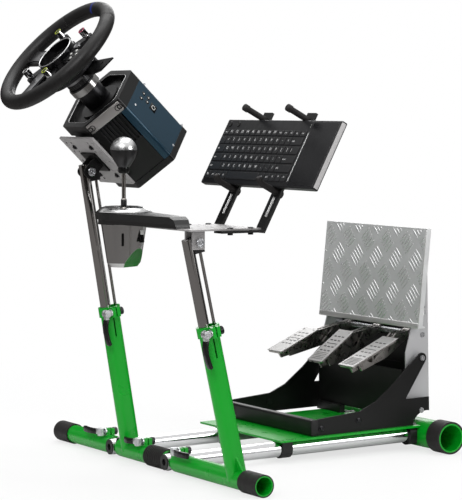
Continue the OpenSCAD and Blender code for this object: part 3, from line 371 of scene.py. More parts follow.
# %% The shifter's housing: metal cup, dark band, black collar
def housing_finish(collar_height):
    """Three zones by height: brushed metal up to the band, a dark metal band, black above."""
    material, nodes, links, shader = new_material("housing_zones")
    where = place_coordinates(nodes, links)
    split = nodes.new("ShaderNodeSeparateXYZ")
    links.new(where, split.inputs[0])
    zone = map_range(nodes, links, split.outputs["Z"], collar_height - 0.1, collar_height)
    stops = ((0.0, (0.52, 0.515, 0.51), 1.0, 0.20), (0.81, (0.10, 0.10, 0.10), 1.0, 0.30),
             (0.905, (0.012, 0.012, 0.012), 0.0, 0.40))
    for socket, pick in (("Base Color", 1), ("Metallic", 2), ("Roughness", 3)):
        node = nodes.new("ShaderNodeValToRGB")
        node.color_ramp.interpolation = "CONSTANT"
        node.color_ramp.elements.new(0.5)
        for element, stop in zip(node.color_ramp.elements, stops):
            element.position = stop[0]
            tone = stop[pick] if isinstance(stop[pick], tuple) else (stop[pick],)*3
            element.color = (*tone, 1)
        links.new(zone, node.inputs["Fac"])
        links.new(node.outputs["Color"], shader.inputs[socket])
    streaks = place_coordinates(nodes, links, scale=(4, 4, 90))
    bump(nodes, links, shader, noise(nodes, links, streaks, 30, 3), 0.00002, 0.5)
    return material

gate_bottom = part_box("shifter_gate")[0][2]
finish_like(housing_finish(gate_bottom - 0.004), "shifter_housing")
print("housing finish ready")

# %% Finishes for the frame's own parts
finish_like(chrome, "chrome_tubes", "cross_tubes", "wheel_knobs")
finish_like(dark_chrome, "main_inner_tube", "module_inner_tube")
finish_like(green_paint, "rear_tube", "pedal_plate", "left_sleeve", "main_post", "module_post")
finish_like(rubber, "rear_caps", "left_foot_cap", "ribbed_foot_cap", "module_foot_cap")
finish_like(plug_plastic, "tube_plugs", "tube_bushings", "plate_clips", "main_head", "tray_head",
            "keyboard_pegs")
finish_like(black_paint, "pedal_brackets", "pedal_front_bar", "pedal_guard", "plate_hinge",
            "keyboard_arms")
finish_like(base_black, "base_bezel", "base_heat_sink", "base_rear_frame")
finish_like(blue_paint, "base_side_panels")
finish_like(grey_paint, "wheel_plate", "tray_plate")
finish_like(brushed_metal, "base_front_bar", "shifter_gate", "shift_lever")
finish_like(side_metal, "pedal_sides")
finish_like(pedal_cast, "clutch_pedal", "brake_pedal", "throttle_pedal")
finish_like(tread_metal, "tread_plate")
finish_like(bolt_steel, "left_clamp_bolt", "main_clamp_bolts", "module_clamp_bolts", "pedal_axle",
            "shift_gimbal")
finish_like(lever_plastic, "left_lever", "fold_lever", "main_post_lever", "module_sleeve_lever",
            "module_post_lever")
finish_like(black_metal, "quick_release", "wheel_hub", "paddle_left", "paddle_right")
finish_like(keyboard_plastic, "keyboard")
finish_like(leather, "wheel_rim")
print("every node has its finish")

# %% [markdown]
# ## Frames to build in
# The stand leans and tilts: the wheel's axis, the keyboard's arms, the pedal plate and the tread each have a
# direction of their own. A matrix for each lets a piece be drawn flat, in millimetres, and then set in place.

# %% Matrices of the tilted parts
def turned_x(place, degrees):
    """A frame at a place, turned about X."""
    return Matrix.Translation(place) @ Matrix.Rotation(math.radians(degrees), 4, "X")

def shift(x, y, z):
    """A move in millimetres."""
    return Matrix.Translation(Vector((x, y, z))/1000)

FRONT_AXIS = 21.5
REAR_AXIS = 34
WHEELBASE = 603
PLATE_TOP = 20
PEDAL_X = -48
TREAD_TOP = 411.5
TREAD_LEAN = 7
KEYBOARD_LEAN = 28
STEERING = turned_x(middle("wheel_rim"), 46)
PLATE = turned_x(at(0, 0, FRONT_AXIS), math.degrees(math.atan((REAR_AXIS - FRONT_AXIS)/WHEELBASE)))
PLATE = PLATE @ shift(0, 0, PLATE_TOP)
TREAD = PLATE @ turned_x(Vector((PEDAL_X, WHEELBASE - 2, TREAD_TOP))/1000, 90 - TREAD_LEAN)
tray_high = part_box("tray_plate")[1]
ARM = turned_x(Vector((ZERO.x, tray_high[1], tray_high[2] - 0.003)), -KEYBOARD_LEAN)
gate_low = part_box("shifter_gate")[0]
gate = middle("shifter_gate")
SHIFTER = Matrix.Translation(Vector((gate.x, gate.y, gate_low[2] - 0.004)))
print("frames ready; the wheel's middle is at", [round(v, 3) for v in STEERING.translation])

# %% [markdown]
# ## Ways of shaping
# Nearly everything small on the stand is a turned part, a block with soft edges, a flat part cut to an
# outline, or a ring. Each helper starts from Blender's own primitive and shapes it in edit mode.

# %% Start, edit and leave
def begin():
    """Leaves nothing selected, so that an operator works on its own new piece only."""
    bpy.ops.object.select_all(action="DESELECT")

def edit(piece):
    """Opens a piece for editing with everything selected."""
    begin()
    piece.select_set(True)
    bpy.context.view_layer.objects.active = piece
    bpy.ops.object.mode_set(mode="EDIT")
    bpy.ops.mesh.select_all(action="SELECT")

def leave(angle=35):
    """Closes the edit with outward normals and smooth shading across soft edges."""
    bpy.ops.mesh.select_all(action="SELECT")
    bpy.ops.mesh.normals_make_consistent(inside=False)
    bpy.ops.object.mode_set(mode="OBJECT")
    bpy.ops.object.shade_smooth_by_angle(angle=math.radians(angle))

# %% Turned parts, blocks, slabs and rings
def turned(steps, sides=36):
    """A round solid about Z, drawn up from a filled circle; steps are (radius, height) in millimetres."""
    begin()
    bpy.ops.mesh.primitive_circle_add(vertices=sides, radius=steps[0][0]/1000, fill_type="NGON")
    piece = bpy.context.object
    edit(piece)
    bpy.ops.transform.translate(value=(0, 0, steps[0][1]/1000))
    for (r0, z0), (r1, z1) in zip(steps, steps[1:]):
        bpy.ops.mesh.extrude_region_move(TRANSFORM_OT_translate={"value": (0, 0, (z1 - z0)/1000)})
        bpy.ops.transform.resize(value=(r1/r0, r1/r0, 1), center_override=(0, 0, z1/1000))
    leave()
    return piece

def block(size, place, rounding=0.0, steps=2):
    """A box with rounded edges."""
    begin()
    bpy.ops.mesh.primitive_cube_add(size=1)
    piece = bpy.context.object
    edit(piece)
    bpy.ops.transform.resize(value=Vector(size)/1000)
    bpy.ops.transform.translate(value=Vector(place)/1000)
    if rounding:
        bpy.ops.mesh.bevel(offset=rounding/1000, segments=steps, affect="EDGES")
    leave()
    return piece

def slab(outline, low, high, rounding=0.0):
    """A flat part cut to an outline, from one height to another, its edges softened."""
    begin()
    bpy.ops.mesh.primitive_circle_add(vertices=len(outline), radius=1, fill_type="NGON")
    piece = bpy.context.object
    for vertex, (x, y) in zip(piece.data.vertices, outline):
        vertex.co = (x/1000, y/1000, low/1000)
    edit(piece)
    bpy.ops.mesh.extrude_region_move(TRANSFORM_OT_translate={"value": (0, 0, (high - low)/1000)})
    bpy.ops.mesh.select_all(action="SELECT")
    bpy.ops.mesh.normals_make_consistent(inside=False)
    if rounding:
        bpy.ops.mesh.bevel(offset=rounding/1000, segments=2, affect="EDGES")
    leave()
    return piece

def ring(radius, thickness, segments=64, around=12):
    """A plain round ring about Z."""
    begin()
    bpy.ops.mesh.primitive_torus_add(major_radius=radius/1000, minor_radius=thickness/1000,
                                     major_segments=segments, minor_segments=around)
    piece = bpy.context.object
    bpy.ops.object.shade_smooth()
    return piece

def lathe(profile, steps=72):
    """A closed round part with an open middle: an outline of (radius, height) spun once round Z."""
    begin()
    bpy.ops.mesh.primitive_circle_add(vertices=len(profile), radius=1, fill_type="NOTHING")
    piece = bpy.context.object
    for vertex, (radius, height) in zip(piece.data.vertices, profile):
        vertex.co = (radius/1000, 0, height/1000)
    edit(piece)
    bpy.ops.mesh.spin(steps=steps, angle=2*math.pi, center=(0, 0, 0), axis=(0, 0, 1))
    bpy.ops.mesh.select_all(action="SELECT")
    bpy.ops.mesh.remove_doubles(threshold=0.000001)
    leave()
    return piece

# %% Placing, copying and joining
def moved(piece, matrix):
    """Moves a piece by a matrix, into its mesh."""
    piece.data.transform(matrix)
    piece.data.update()
    return piece

def copy_of(piece):
    """A copy with its own mesh."""
    twin = piece.copy()
    twin.data = piece.data.copy()
    bpy.context.scene.collection.objects.link(twin)
    return twin

def joined(pieces):
    """Several pieces made one."""
    begin()
    for piece in pieces:
        piece.select_set(True)
    bpy.context.view_layer.objects.active = pieces[0]
    if len(pieces) > 1:
        bpy.ops.object.join()
    return pieces[0]

def repeated(piece, places):
    """A piece set at each of several places, as one mesh."""
    return joined([moved(copy_of(piece), place) for place in places[1:]] + [moved(piece, places[0])])

def settle(piece, name, material, body, frame_of=None):
    """Names a piece, sets it in its frame, gives it a finish and lets it ride on a body."""
    if frame_of is not None:
        moved(piece, frame_of)
    piece.name = name
    piece.data.name = name
    if material is not None:
        piece.data.materials.clear()
        piece.data.materials.append(material)
    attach(piece, body)
    return piece

# %% [markdown]
# ## The leather wheel
# The rim is a torus wrapped in leather. Where two lengths of leather meet there is a dip with a stitched line
# across it, and more stitches run round the inside. The dip is pushed into the mesh along its normals, and one
# stitch, a small soft block, is copied round.

# %% Rim with its seams
RIM_R = 129
GRIP_R = 15
SEAMS = (48, 131)
begin()
bpy.ops.mesh.primitive_torus_add(major_radius=RIM_R/1000, minor_radius=GRIP_R/1000,
                                 major_segments=360, minor_segments=36)
rim = bpy.context.object
for seam in SEAMS:
    edit(rim)
    bpy.ops.mesh.select_all(action="DESELECT")
    bpy.ops.object.mode_set(mode="OBJECT")
    for vertex in rim.data.vertices:
        angle = math.degrees(math.atan2(vertex.co.y, vertex.co.x))
        vertex.select = abs(angle - seam) < 0.6
    bpy.ops.object.mode_set(mode="EDIT")
    bpy.ops.transform.shrink_fatten(value=-0.0009)
    bpy.ops.object.mode_set(mode="OBJECT")
bpy.ops.object.shade_smooth()
settle(rim, "leather_rim", leather, "steering_wheel")
blue_mark = soft_black("rim_blue_mark", (0.010, 0.022, 0.20), 0.45, 1300, 0.00008)
rim.data.materials.append(blue_mark)
for face in rim.data.polygons:
    angle = math.degrees(math.atan2(face.center.y, face.center.x))
    if abs(angle - 90) < 1.1 and face.center.z > 0.002:
        face.material_index = 1
moved(rim, STEERING)
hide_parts("wheel_rim")
print("rim faces:", len(rim.data.polygons))

# %% Stitches across the seams and round the inside
def on_grip(turn, roll, out):
    """A frame on the grip's skin: turn goes round the wheel, roll round the grip."""
    about = Matrix.Rotation(math.radians(turn), 4, "Z") @ shift(RIM_R, 0, 0)
    return about @ Matrix.Rotation(math.radians(-roll), 4, "Y") @ shift(GRIP_R + out, 0, 0)

thread = soft_black("waxed_thread", (0.045, 0.042, 0.042), 0.7, 3000, 0.00004)
stitch = block((0.8, 4.4, 0.9), (0, 0, 0), 0.3, 1)
spots = [on_grip(seam, roll, -0.45) for seam in SEAMS for roll in range(0, 360, 14)]
settle(repeated(stitch, spots), "seam_stitches", thread, "steering_wheel", STEERING)
stitch = block((0.7, 3.2, 0.8), (0, 0, 0), 0.25, 1)
lean = Matrix.Rotation(math.radians(30), 4, "X")
spots = [on_grip(turn, 180, -0.15) @ lean for turn in range(0, 360, 3)]
settle(repeated(stitch, spots), "inner_stitches", thread, "steering_wheel", STEERING)
print("stitches set")

# %% [markdown]
# ## The wheel's centre
# A cup with a bright lip and a dark glossy bottom sits in the middle. Four turned knobs with coloured rings
# stand round it, and metal plates face the three spokes. All of it turns with the wheel.

# %% Lip, bottom and spoke plates
satin = bare_metal("satin_trim", (0.62, 0.62, 0.62), 0.30, (5, 5, 5), 0.05)
gunmetal = bare_metal("gunmetal", (0.20, 0.20, 0.205), 0.33, (3, 30, 30), 0.07)
gloss_black = soft_black("gloss_black", (0.006, 0.006, 0.006), 0.10, 3000, 0.000004, 0.03)
CUP_R = 39.75
settle(moved(ring(CUP_R, 1.4, 96), shift(0, 0, 7.4)), "cup_lip", satin, "steering_wheel", STEERING)
bottom = turned([(37.6, -8), (37.2, -6.6), (33, -5.2), (24, -3.6), (12, -2.8), (3, -2.6)], 64)
settle(bottom, "cup_bottom", gloss_black, "steering_wheel", STEERING)

SPOKE = [(50, -15), (92, -12), (116, -19), (116, 19), (92, 12), (50, 15)]
for label, turn in (("left", 180), ("low", 270), ("right", 0)):
    plate = slab(SPOKE, -3, -1.4, 0.5)
    moved(plate, Matrix.Rotation(math.radians(turn), 4, "Z"))
    settle(plate, f"spoke_plate_{label}", gunmetal if label != "right" else base_black,
           "steering_wheel", STEERING)
print("cup and spokes dressed")

# %% Knob rings and buttons
KNOB_TOP = 14
KNOBS = {"top_left": (-52, 54), "top_right": (52, 54), "low_left": (-43, -56), "low_right": (43, -56)}
lime = soft_black("lime_ring", (0.42, 0.50, 0.02), 0.35, 2500, 0.00001)
crimson = soft_black("crimson_ring", (0.48, 0.01, 0.09), 0.35, 2500, 0.00001)
RING_COLOUR = {"top_left": lime, "top_right": crimson, "low_left": satin, "low_right": lime}
for label, (x, y) in KNOBS.items():
    hoop = moved(ring(6.6, 0.8, 40, 8), shift(x, y, KNOB_TOP))
    settle(hoop, f"knob_ring_{label}", RING_COLOUR[label], "steering_wheel", STEERING)
    cap = moved(turned([(6.0, -0.5), (5.9, 0.3), (4.8, 0.8), (1.2, 0.9)], 24), shift(x, y, KNOB_TOP))
    settle(cap, f"knob_cap_{label}", base_black, "steering_wheel", STEERING)

pearl = soft_black("pearl_plastic", (0.62, 0.62, 0.60), 0.35, 2500, 0.00001)
button = turned([(3.1, -3), (3.0, -0.6), (2.2, 0.2), (0.8, 0.5)], 20)
spots = [shift(x, y, -0.6) for x, y in ((55, 4), (67, -7), (66, 13), (78, 3))]
settle(repeated(button, spots), "spoke_buttons", pearl, "steering_wheel", STEERING)
pad = turned([(9, -4), (9, -1.2), (8.2, -0.4), (5.2, -0.4), (4.6, -1.2), (1.5, -1.2)], 32)
settle(moved(pad, shift(47, 27, 0)), "thumb_pad", gunmetal, "steering_wheel", STEERING)
button = turned([(4.2, -4), (4.1, -1.4), (3.4, -0.8), (1.0, -0.5)], 20)
spots = [shift(x, y, -0.6) for x, y in ((-60, 8), (-60, -8), (-74, 0), (-66, 24))]
settle(repeated(button, spots), "face_buttons", gloss_black, "steering_wheel", STEERING)
print("knobs and buttons set")

# %% [markdown]
# ## The quick release
# The wheel drops onto the shaft and is locked by a ring. The ring is polished, with a step at each end and
# grooves to hold it by, so it gets a turned shape of its own over the plain barrel.

# %% Release ring and barrel bands
polished = bare_metal("polished_ring", (0.30, 0.295, 0.29), 0.16, (3, 3, 3), 0.04)
release = turned([(31.2, -92), (32.2, -91), (32.2, -77), (31.2, -76), (28.4, -75.4), (28.3, -75)], 72)
settle(release, "release_ring", polished, "steering_wheel", STEERING)
band = turned([(28.4, -62), (29.0, -61.4), (29.0, -56.6), (28.4, -56)], 64)
settle(band, "barrel_band", gunmetal, "steering_wheel", STEERING)
rib = block((1.2, 3.0, 11), (28.3, 0, -68), 0.5, 1)
spots = [Matrix.Rotation(math.radians(turn), 4, "Z") for turn in range(0, 360, 12)]
settle(repeated(rib, spots), "barrel_ribs", base_black, "steering_wheel", STEERING)
print("quick release ready")

# %% [markdown]
# ## The servo base
# The base is a six-sided housing. Thin lighter lines round its front rim are painted highlights on its inner
# and outer edges; the right panel carries four screws, a few small round keys and one larger round key.

# %% Painted highlights along the bezel's edges
def hexagon_highlight_line(side, height, thickness, round_by=9):
    """A thin light-coloured line round a hexagon with rounded corners: a painted highlight along an edge."""
    begin()
    bpy.ops.mesh.primitive_circle_add(vertices=6, radius=side/1000, fill_type="NOTHING")
    piece = bpy.context.object
    edit(piece)
    bpy.ops.transform.rotate(value=math.radians(30), orient_axis="Z", center_override=(0, 0, 0))
    bpy.ops.mesh.bevel(offset=round_by/1000, segments=4, affect="VERTICES")
    bpy.ops.object.mode_set(mode="OBJECT")
    bpy.ops.object.convert(target="CURVE")
    piece = bpy.context.object
    piece.data.bevel_depth = thickness/1000
    piece.data.bevel_resolution = 2
    bpy.ops.object.convert(target="MESH")
    piece = bpy.context.object
    edit(piece)
    leave()
    return moved(piece, shift(0, 0, height))

BEZEL_FACE = -123
# Painted highlights: a satin line at the recess's inner edge and a gunmetal line at the rim's outer edge stand
# for the light these edges catch.
inner = hexagon_highlight_line(77, BEZEL_FACE - 0.3, 0.6)
settle(inner, "bezel_inner_painted_highlight", satin, "wheel_table", STEERING)
outer = hexagon_highlight_line(90.2, BEZEL_FACE - 0.9, 0.4)
settle(outer, "bezel_outer_painted_highlight", gunmetal, "wheel_table", STEERING)
print("bezel edges set")

# %% Screws and keys of the side panels
HEX_FLAT = 78.8
def on_side(turn, along, depth, out=0.0):
    """A frame on one of the housing's six sides: along runs round it, depth towards the wheel."""
    about = Matrix.Rotation(math.radians(turn), 4, "Z") @ shift(HEX_FLAT + out, along, depth)
    return about @ Matrix.Rotation(math.radians(90), 4, "Y")

screw = turned([(2.6, -1.0), (2.6, 0.2), (2.0, 0.6), (1.1, 0.6), (1.0, 0.1)], 14)
corners = [(46, -163), (-18.4, -165), (47, -282), (-17, -283.5)]
spots = [on_side(turn, along if turn == 30 else -along, depth)
         for turn in (30, 150) for along, depth in corners]
settle(repeated(screw, spots), "panel_screws", bolt_steel, "wheel_table", STEERING)
key = turned([(4.4, -1), (4.4, 0.2), (3.8, 0.6), (1.2, 0.7)], 20)
small = [(23.5, -171), (8, -170), (25, -185), (13.5, -186)]
settle(repeated(key, [on_side(30, *spot) for spot in small]), "panel_keys", gloss_black, "wheel_table",
       STEERING)
dot = turned([(1.7, 0.4), (1.6, 0.95), (0.6, 1.05)], 12)
settle(repeated(dot, [on_side(30, *spot) for spot in small]), "panel_key_marks", pearl, "wheel_table",
       STEERING)
pad = block((17, 17, 1.6), (0, 0, 0.2), 0.7, 2)
settle(moved(pad, on_side(30, 14.6, -204.1)), "panel_round_key_seat", gloss_black, "wheel_table", STEERING)
hoop = moved(ring(4.6, 0.7, 32, 8), on_side(30, 14.6, -204.1, 1.1))
settle(hoop, "panel_round_key_ring", pearl, "wheel_table", STEERING)
print("panel dressed")

# %% Carrying bar on the lower right side
bar_finish = bare_metal("bar_aluminium", (0.50, 0.48, 0.47), 0.42, (3, 40, 40), 0.05, 0.00002)
bar = block((22, 82, 5), (0, 0, 2.2), 1.6, 3)
settle(moved(bar, on_side(-30, 0, -136)), "carrying_bar", bar_finish, "wheel_table", STEERING)
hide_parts("base_front_bar")
hole = turned([(6.4, 4.2), (6.4, 5.0), (5.6, 5.3), (5.0, 4.9), (4.6, 4.4)], 28)
spots = [on_side(-30, along, -136) for along in (-33, 33)]
settle(repeated(hole, spots), "carrying_bar_holes", gloss_black, "wheel_table", STEERING)
print("carrying bar set")

# %% Bolts under the wheel plate and the bright pivot rings
MOUNT_FACE = -78.81 - 8 - 5
PIVOT_BACK = -208
def bolt_head(radius, height, sides=6):
    """A washer with a six-sided head on it."""
    washer = turned([(radius*1.35, 0), (radius*1.35, 0.8), (radius*1.25, 1.0)], 24)
    head = turned([(radius, 0.6), (radius, height - 0.7), (radius*0.86, height)], sides)
    return joined([washer, head])

down = Matrix.Rotation(math.radians(90), 4, "X")
spots = [shift(x, MOUNT_FACE, PIVOT_BACK + z) @ down for x in (-36, 36) for z in (-40, 40)]
settle(repeated(bolt_head(4.6, 4), spots), "wheel_plate_bolts", black_metal, "wheel_table", STEERING)

def pivot_ring():
    """A bright cap nut ring with a socket in it, facing +Z."""
    return turned([(8.6, -0.5), (8.6, 1.4), (7.8, 2.2), (5.4, 2.2), (4.8, 0.6), (2.0, 0.6), (1.6, 1.6)], 32)

def middle_of_pivot(node):
    """Half the width of a node's pivot cheeks is known, so the bolt's end follows from the record's joint."""
    joint = {"plate_hinge": "wheel_table_tilt", "tray_plate": "tray_tilt"}[node]
    for entry in frame["record"]["behaviour"]["joints"]:
        if entry["name"] == joint:
            return Vector(entry["pos_m"])

CHEEK_END = 21
for node, body in (("plate_hinge", "wheel_table"), ("tray_plate", "tray_table")):
    centre = middle_of_pivot(node)
    for side, label in ((1, "right"), (-1, "left")):
        outward = Matrix.Rotation(math.radians(90*side), 4, "Y")
        face = Matrix.Translation(centre) @ outward @ shift(0, 0, CHEEK_END)
        settle(moved(pivot_ring(), face), f"{node}_ring_{label}", bolt_steel, body)
print("bolts and rings set")

# %% [markdown]
# ## The gear lever
# The knob is a turned part in two metals: a bright brushed cap over a dark pear-shaped body, with a groove
# where they meet. It stands on a steel rod with a dark sleeve, so the plain lever of the frame is replaced.

# %% Rod, cradle pin and knob
PIN_DROP = 55
KNOB_UP = 179
LEVER = SHIFTER @ shift(0, 0, -PIN_DROP)
knob_steel = bare_metal("knob_steel", (0.62, 0.62, 0.62), 0.30, (60, 60, 3), 0.08, 0.00002)
knob_dark = bare_metal("knob_dark_metal", (0.085, 0.085, 0.087), 0.36, (3, 3, 3), 0.05, 0.00002)
rod_steel = bare_metal("rod_steel", (0.74, 0.70, 0.66), 0.20, (20, 20, 2), 0.05)
rod = turned([(3.9, -5), (4, -4), (4, 62), (5.4, 62.5), (5.4, 84.5), (5.0, 85), (4, 85.2), (4, 140)], 32)
settle(rod, "gear_rod", rod_steel, "shift_stick", LEVER)
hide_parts("shift_lever")
sleeve = turned([(5.6, 64), (5.8, 64.6), (5.8, 82), (5.6, 82.6)], 28)
settle(sleeve, "gear_rod_sleeve", knob_dark, "shift_stick", LEVER)
pin = moved(turned([(2.6, -20), (2.9, -19.6), (2.9, 19.6), (2.6, 20)], 20),
            Matrix.Rotation(math.radians(90), 4, "Y"))
settle(joined([pin, block((16, 14, 10), (0, 0, 0), 0.8)]), "gear_cradle_pin", bolt_steel, "shift_stick",
       LEVER)

BALL_R = 26
cap_steps = [(25.2, 0.4), (BALL_R, 1.0)]
cap_steps += [(BALL_R*math.cos(math.radians(a)), BALL_R*math.sin(math.radians(a))) for a in range(6, 90, 7)]
cap = turned(cap_steps, 64)
settle(moved(cap, shift(0, 0, KNOB_UP)), "gear_knob_cap", knob_steel, "shift_stick", LEVER)
body = turned([(11, -33), (12.4, -31.5), (14.6, -27.5), (18.4, -22), (22, -15.5), (24.4, -9), (25.6, -2.8),
               (25.9, -0.6), (25.2, 0.2)], 64)
settle(moved(body, shift(0, 0, KNOB_UP)), "gear_knob_body", knob_dark, "shift_stick", LEVER)
collar = turned([(8.6, -45), (9.6, -44), (11.0, -41), (11.0, -35), (10.4, -33.2), (10.9, -33)], 40)
settle(moved(collar, shift(0, 0, KNOB_UP)), "gear_knob_collar", gloss_black, "shift_stick", LEVER)
print("gear lever built")

# %% [markdown]
# ## The shifter's housing
# Its lower cup is brushed metal below a black collar. A dark slot faces the viewer and a recess with a pale
# socket sits further round. A turned cover with four screws lies over the gate.

# %% Slot, socket recess and gate trim
def on_cup(turn, height, radius):
    """A frame on the cup's wall that faces outwards."""
    return (SHIFTER @ Matrix.Rotation(math.radians(turn), 4, "Z") @ shift(radius, 0, height)
            @ Matrix.Rotation(math.radians(90), 4, "Y"))

cover_steel = bare_metal("gate_cover_steel", (0.55, 0.55, 0.55), 0.22, (4, 4, 4), 0.05)
CUP_SLANT = Matrix.Rotation(math.radians(-8.2), 4, "Y")
slot = block((36, 5, 3.2), (0, 0, 0), 1.3, 3)
settle(slot, "cup_slot", gloss_black, "tray_table", on_cup(-31, -42, 41.4) @ CUP_SLANT)
recess = block((34, 13, 4), (0, 0, 0), 1.6, 3)
settle(recess, "socket_recess", gloss_black, "tray_table", on_cup(24, -37, 41.8) @ CUP_SLANT)
socket = block((9, 9, 3), (0, 0, 1.6), 0.8, 2)
settle(socket, "socket_face", pearl, "tray_table", on_cup(24, -34, 42.2) @ CUP_SLANT)
cover = lathe([(53.6, 5.0), (50.5, 8.0), (45.6, 12.2), (40, 14.4), (33, 15.6), (29.5, 15.4), (29.0, 12.5),
               (29.0, 8.2), (37.6, 8.2), (37.9, 12.1), (44.2, 12.1), (53.9, 4.2)])
settle(cover, "gate_cover", cover_steel, "tray_table", SHIFTER)
settle(moved(ring(54.2, 1.0, 96, 8), shift(0, 0, 4.2)), "collar_lip", gloss_black, "tray_table", SHIFTER)
screw = turned([(2.4, 14.2), (2.4, 15.6), (1.8, 16.0), (1.0, 16.0)], 16)
spots = [Matrix.Rotation(math.radians(turn), 4, "Z") @ shift(36, 0, -0.4) for turn in (45, 135, 225, 315)]
settle(repeated(screw, spots), "gate_screws", bolt_steel, "tray_table", SHIFTER)
print("housing dressed")

# %% Bolts on the tray
ARM_X = (235, 391)
bolt = turned([(6.0, 0), (5.8, 1.0), (4.4, 2.2), (1.6, 2.7)], 24)
spots = [Matrix.Translation(Vector((ZERO.x, ZERO.y, tray_high[2]))) @ shift(x, 31 - back, 0)
         for x in ARM_X for back in (20, 64)]
settle(repeated(bolt, spots), "tray_bolts", black_metal, "tray_table")
print("tray bolts set")

# %% [markdown]
# ## The keyboard
# A slim wireless keyboard rests on the pegs: a dark case with rounded edges and a pale strip down its right
# side, six rows of low keys, a thin bright divider and a smooth touch area. Each key is a block whose top is
# drawn in; the legends are plain generic letters turned into mesh.

# %% Case, touch area and side strip
CASE_W = 408
CASE_T = 13
CASE_L = 140
KEYS = ARM @ shift(122, -CASE_T, 83) @ Matrix.Rotation(math.radians(90), 4, "X")
key_plastic = soft_black("key_plastic", (0.016, 0.016, 0.017), 0.34, 3500, 0.00001)
touch_gloss = soft_black("touch_area", (0.009, 0.009, 0.010), 0.22, 3500, 0.000004, 0.03)
case = block((CASE_W - 0.8, CASE_L, CASE_T), (CASE_W/2 - 0.4, CASE_L/2, -CASE_T/2), 2.4, 4)
settle(case, "keyboard_case", keyboard_plastic, "tray_table", KEYS)
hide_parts("keyboard")
strip = block((1.4, CASE_L - 6, 9.4), (CASE_W - 0.75, CASE_L/2, -5.4), 0.5, 2)
strip_grey = soft_black("side_strip_grey", (0.42, 0.41, 0.41), 0.45, 2500, 0.00001)
settle(strip, "keyboard_side_strip", strip_grey, "tray_table", KEYS)
touch = block((86, CASE_L - 8, 0.8), (360, CASE_L/2, 0.0), 0.35, 1)
settle(touch, "keyboard_touch_area", touch_gloss, "tray_table", KEYS)
divider = block((1.1, 101, 0.9), (312, 62.5, 0.3), 0.3, 1)
settle(divider, "keyboard_divider", satin, "tray_table", KEYS)
round_key = turned([(5.6, -0.5), (5.6, 0.9), (5.0, 1.3), (1.6, 1.1)], 28)
settle(repeated(round_key, [shift(15, 129, 0), shift(46, 129, 0)]), "keyboard_round_keys", gloss_black,
       "tray_table", KEYS)
light_dot = turned([(1.0, -0.2), (0.9, 0.3), (0.4, 0.4)], 10)
settle(repeated(light_dot, [shift(309, 130, 0), shift(309, 125.5, 0)]), "keyboard_lights", pearl,
       "tray_table", KEYS)
print("case ready")

# %% Rows of keys
UNIT = 20
KEY_START = 6
KEY_GAP = 1.7
ROWS = [
    (111, 13, [(1, name) for name in "esc F1 F2 F3 F4 F5 F6 F7 F8 F9 F10 F11 F12 ins del".split()]),
    (94.2, 17, [(1, name) for name in "` 1 2 3 4 5 6 7 8 9 0 - =".split()] + [(2, "back")]),
    (75.2, 17, [(1.5, "tab")] + [(1, name) for name in "Q W E R T Y U I O P [ ]".split()] + [(1.5, "|")]),
    (56.2, 17, [(1.75, "caps")] + [(1, name) for name in "A S D F G H J K L ; '".split()]
     + [(2.25, "enter")]),
    (37.2, 17, [(2.25, "shift")] + [(1, name) for name in "Z X C V B N M , . /".split()] + [(2.75, "shift")]),
    (18.2, 17, [(1, "fn"), (1, "ctrl"), (1, "menu"), (1, "alt"), (6, ""), (1, "alt"), (1, "ctrl"), (1, "<"),
                (1, "^"), (1, ">")]),
]

def key_block(width, depth):
    """One key: a low block whose top is drawn in and softened."""
    piece = block((width, depth, 2.4), (0, 0, 0.6))
    edit(piece)
    bpy.ops.mesh.select_mode(type="FACE")
    bpy.ops.mesh.select_all(action="DESELECT")
    bpy.ops.object.mode_set(mode="OBJECT")
    for face in piece.data.polygons:
        face.select = face.normal.z > 0.9
    bpy.ops.object.mode_set(mode="EDIT")
    bpy.ops.transform.resize(value=((width - 1.8)/width, (depth - 1.8)/depth, 1), center_override=(0, 0, 0))
    bpy.ops.mesh.select_all(action="SELECT")
    bpy.ops.mesh.bevel(offset=0.00035, segments=1, affect="EDGES")
    leave()
    return piece

patterns = {}
places = []
for height, depth, row in ROWS:
    start = KEY_START
    for span, name in row:
        width = span*UNIT - KEY_GAP
        places.append((width, depth, start + span*UNIT/2, height, name))
        patterns.setdefault((width, depth), []).append(shift(start + span*UNIT/2, height, 0))
        start += span*UNIT
keys = joined([repeated(key_block(*size), spots) for size, spots in patterns.items()])
settle(keys, "keyboard_keys", key_plastic, "tray_table", KEYS)
print("keys:", len(places))

# %% Legends of the keys
legend_ink = soft_black("legend_ink", (0.85, 0.85, 0.85), 0.5, 3000, 0.000001)
legends = []
for width, depth, x, y, name in places:
    if not name:
        continue
    begin()
    bpy.ops.object.text_add()
    text = bpy.context.object
    text.data.body = name
    text.data.size = 0.0080 if len(name) < 3 else 0.0052
    text.data.resolution_u = 2
    text.data.extrude = 0.00006
    text.data.align_x = "LEFT" if width > UNIT else "CENTER"
    bpy.ops.object.convert(target="MESH")
    text = bpy.context.object
    left = x - width/2 + 3 if width > UNIT else x
    legends.append(moved(text, shift(left, y - 1.2, 1.86)))
settle(joined(legends), "keyboard_legends", legend_ink, "tray_table", KEYS)
print("legends:", len(legends))

# %% [markdown]
# ## Pegs of the keyboard holder
# Four rubber-covered pegs hold the keyboard: two long ones above it and two below that turn up at the tip.
# They are drawn out of a circle, step by step, as the hook bends.

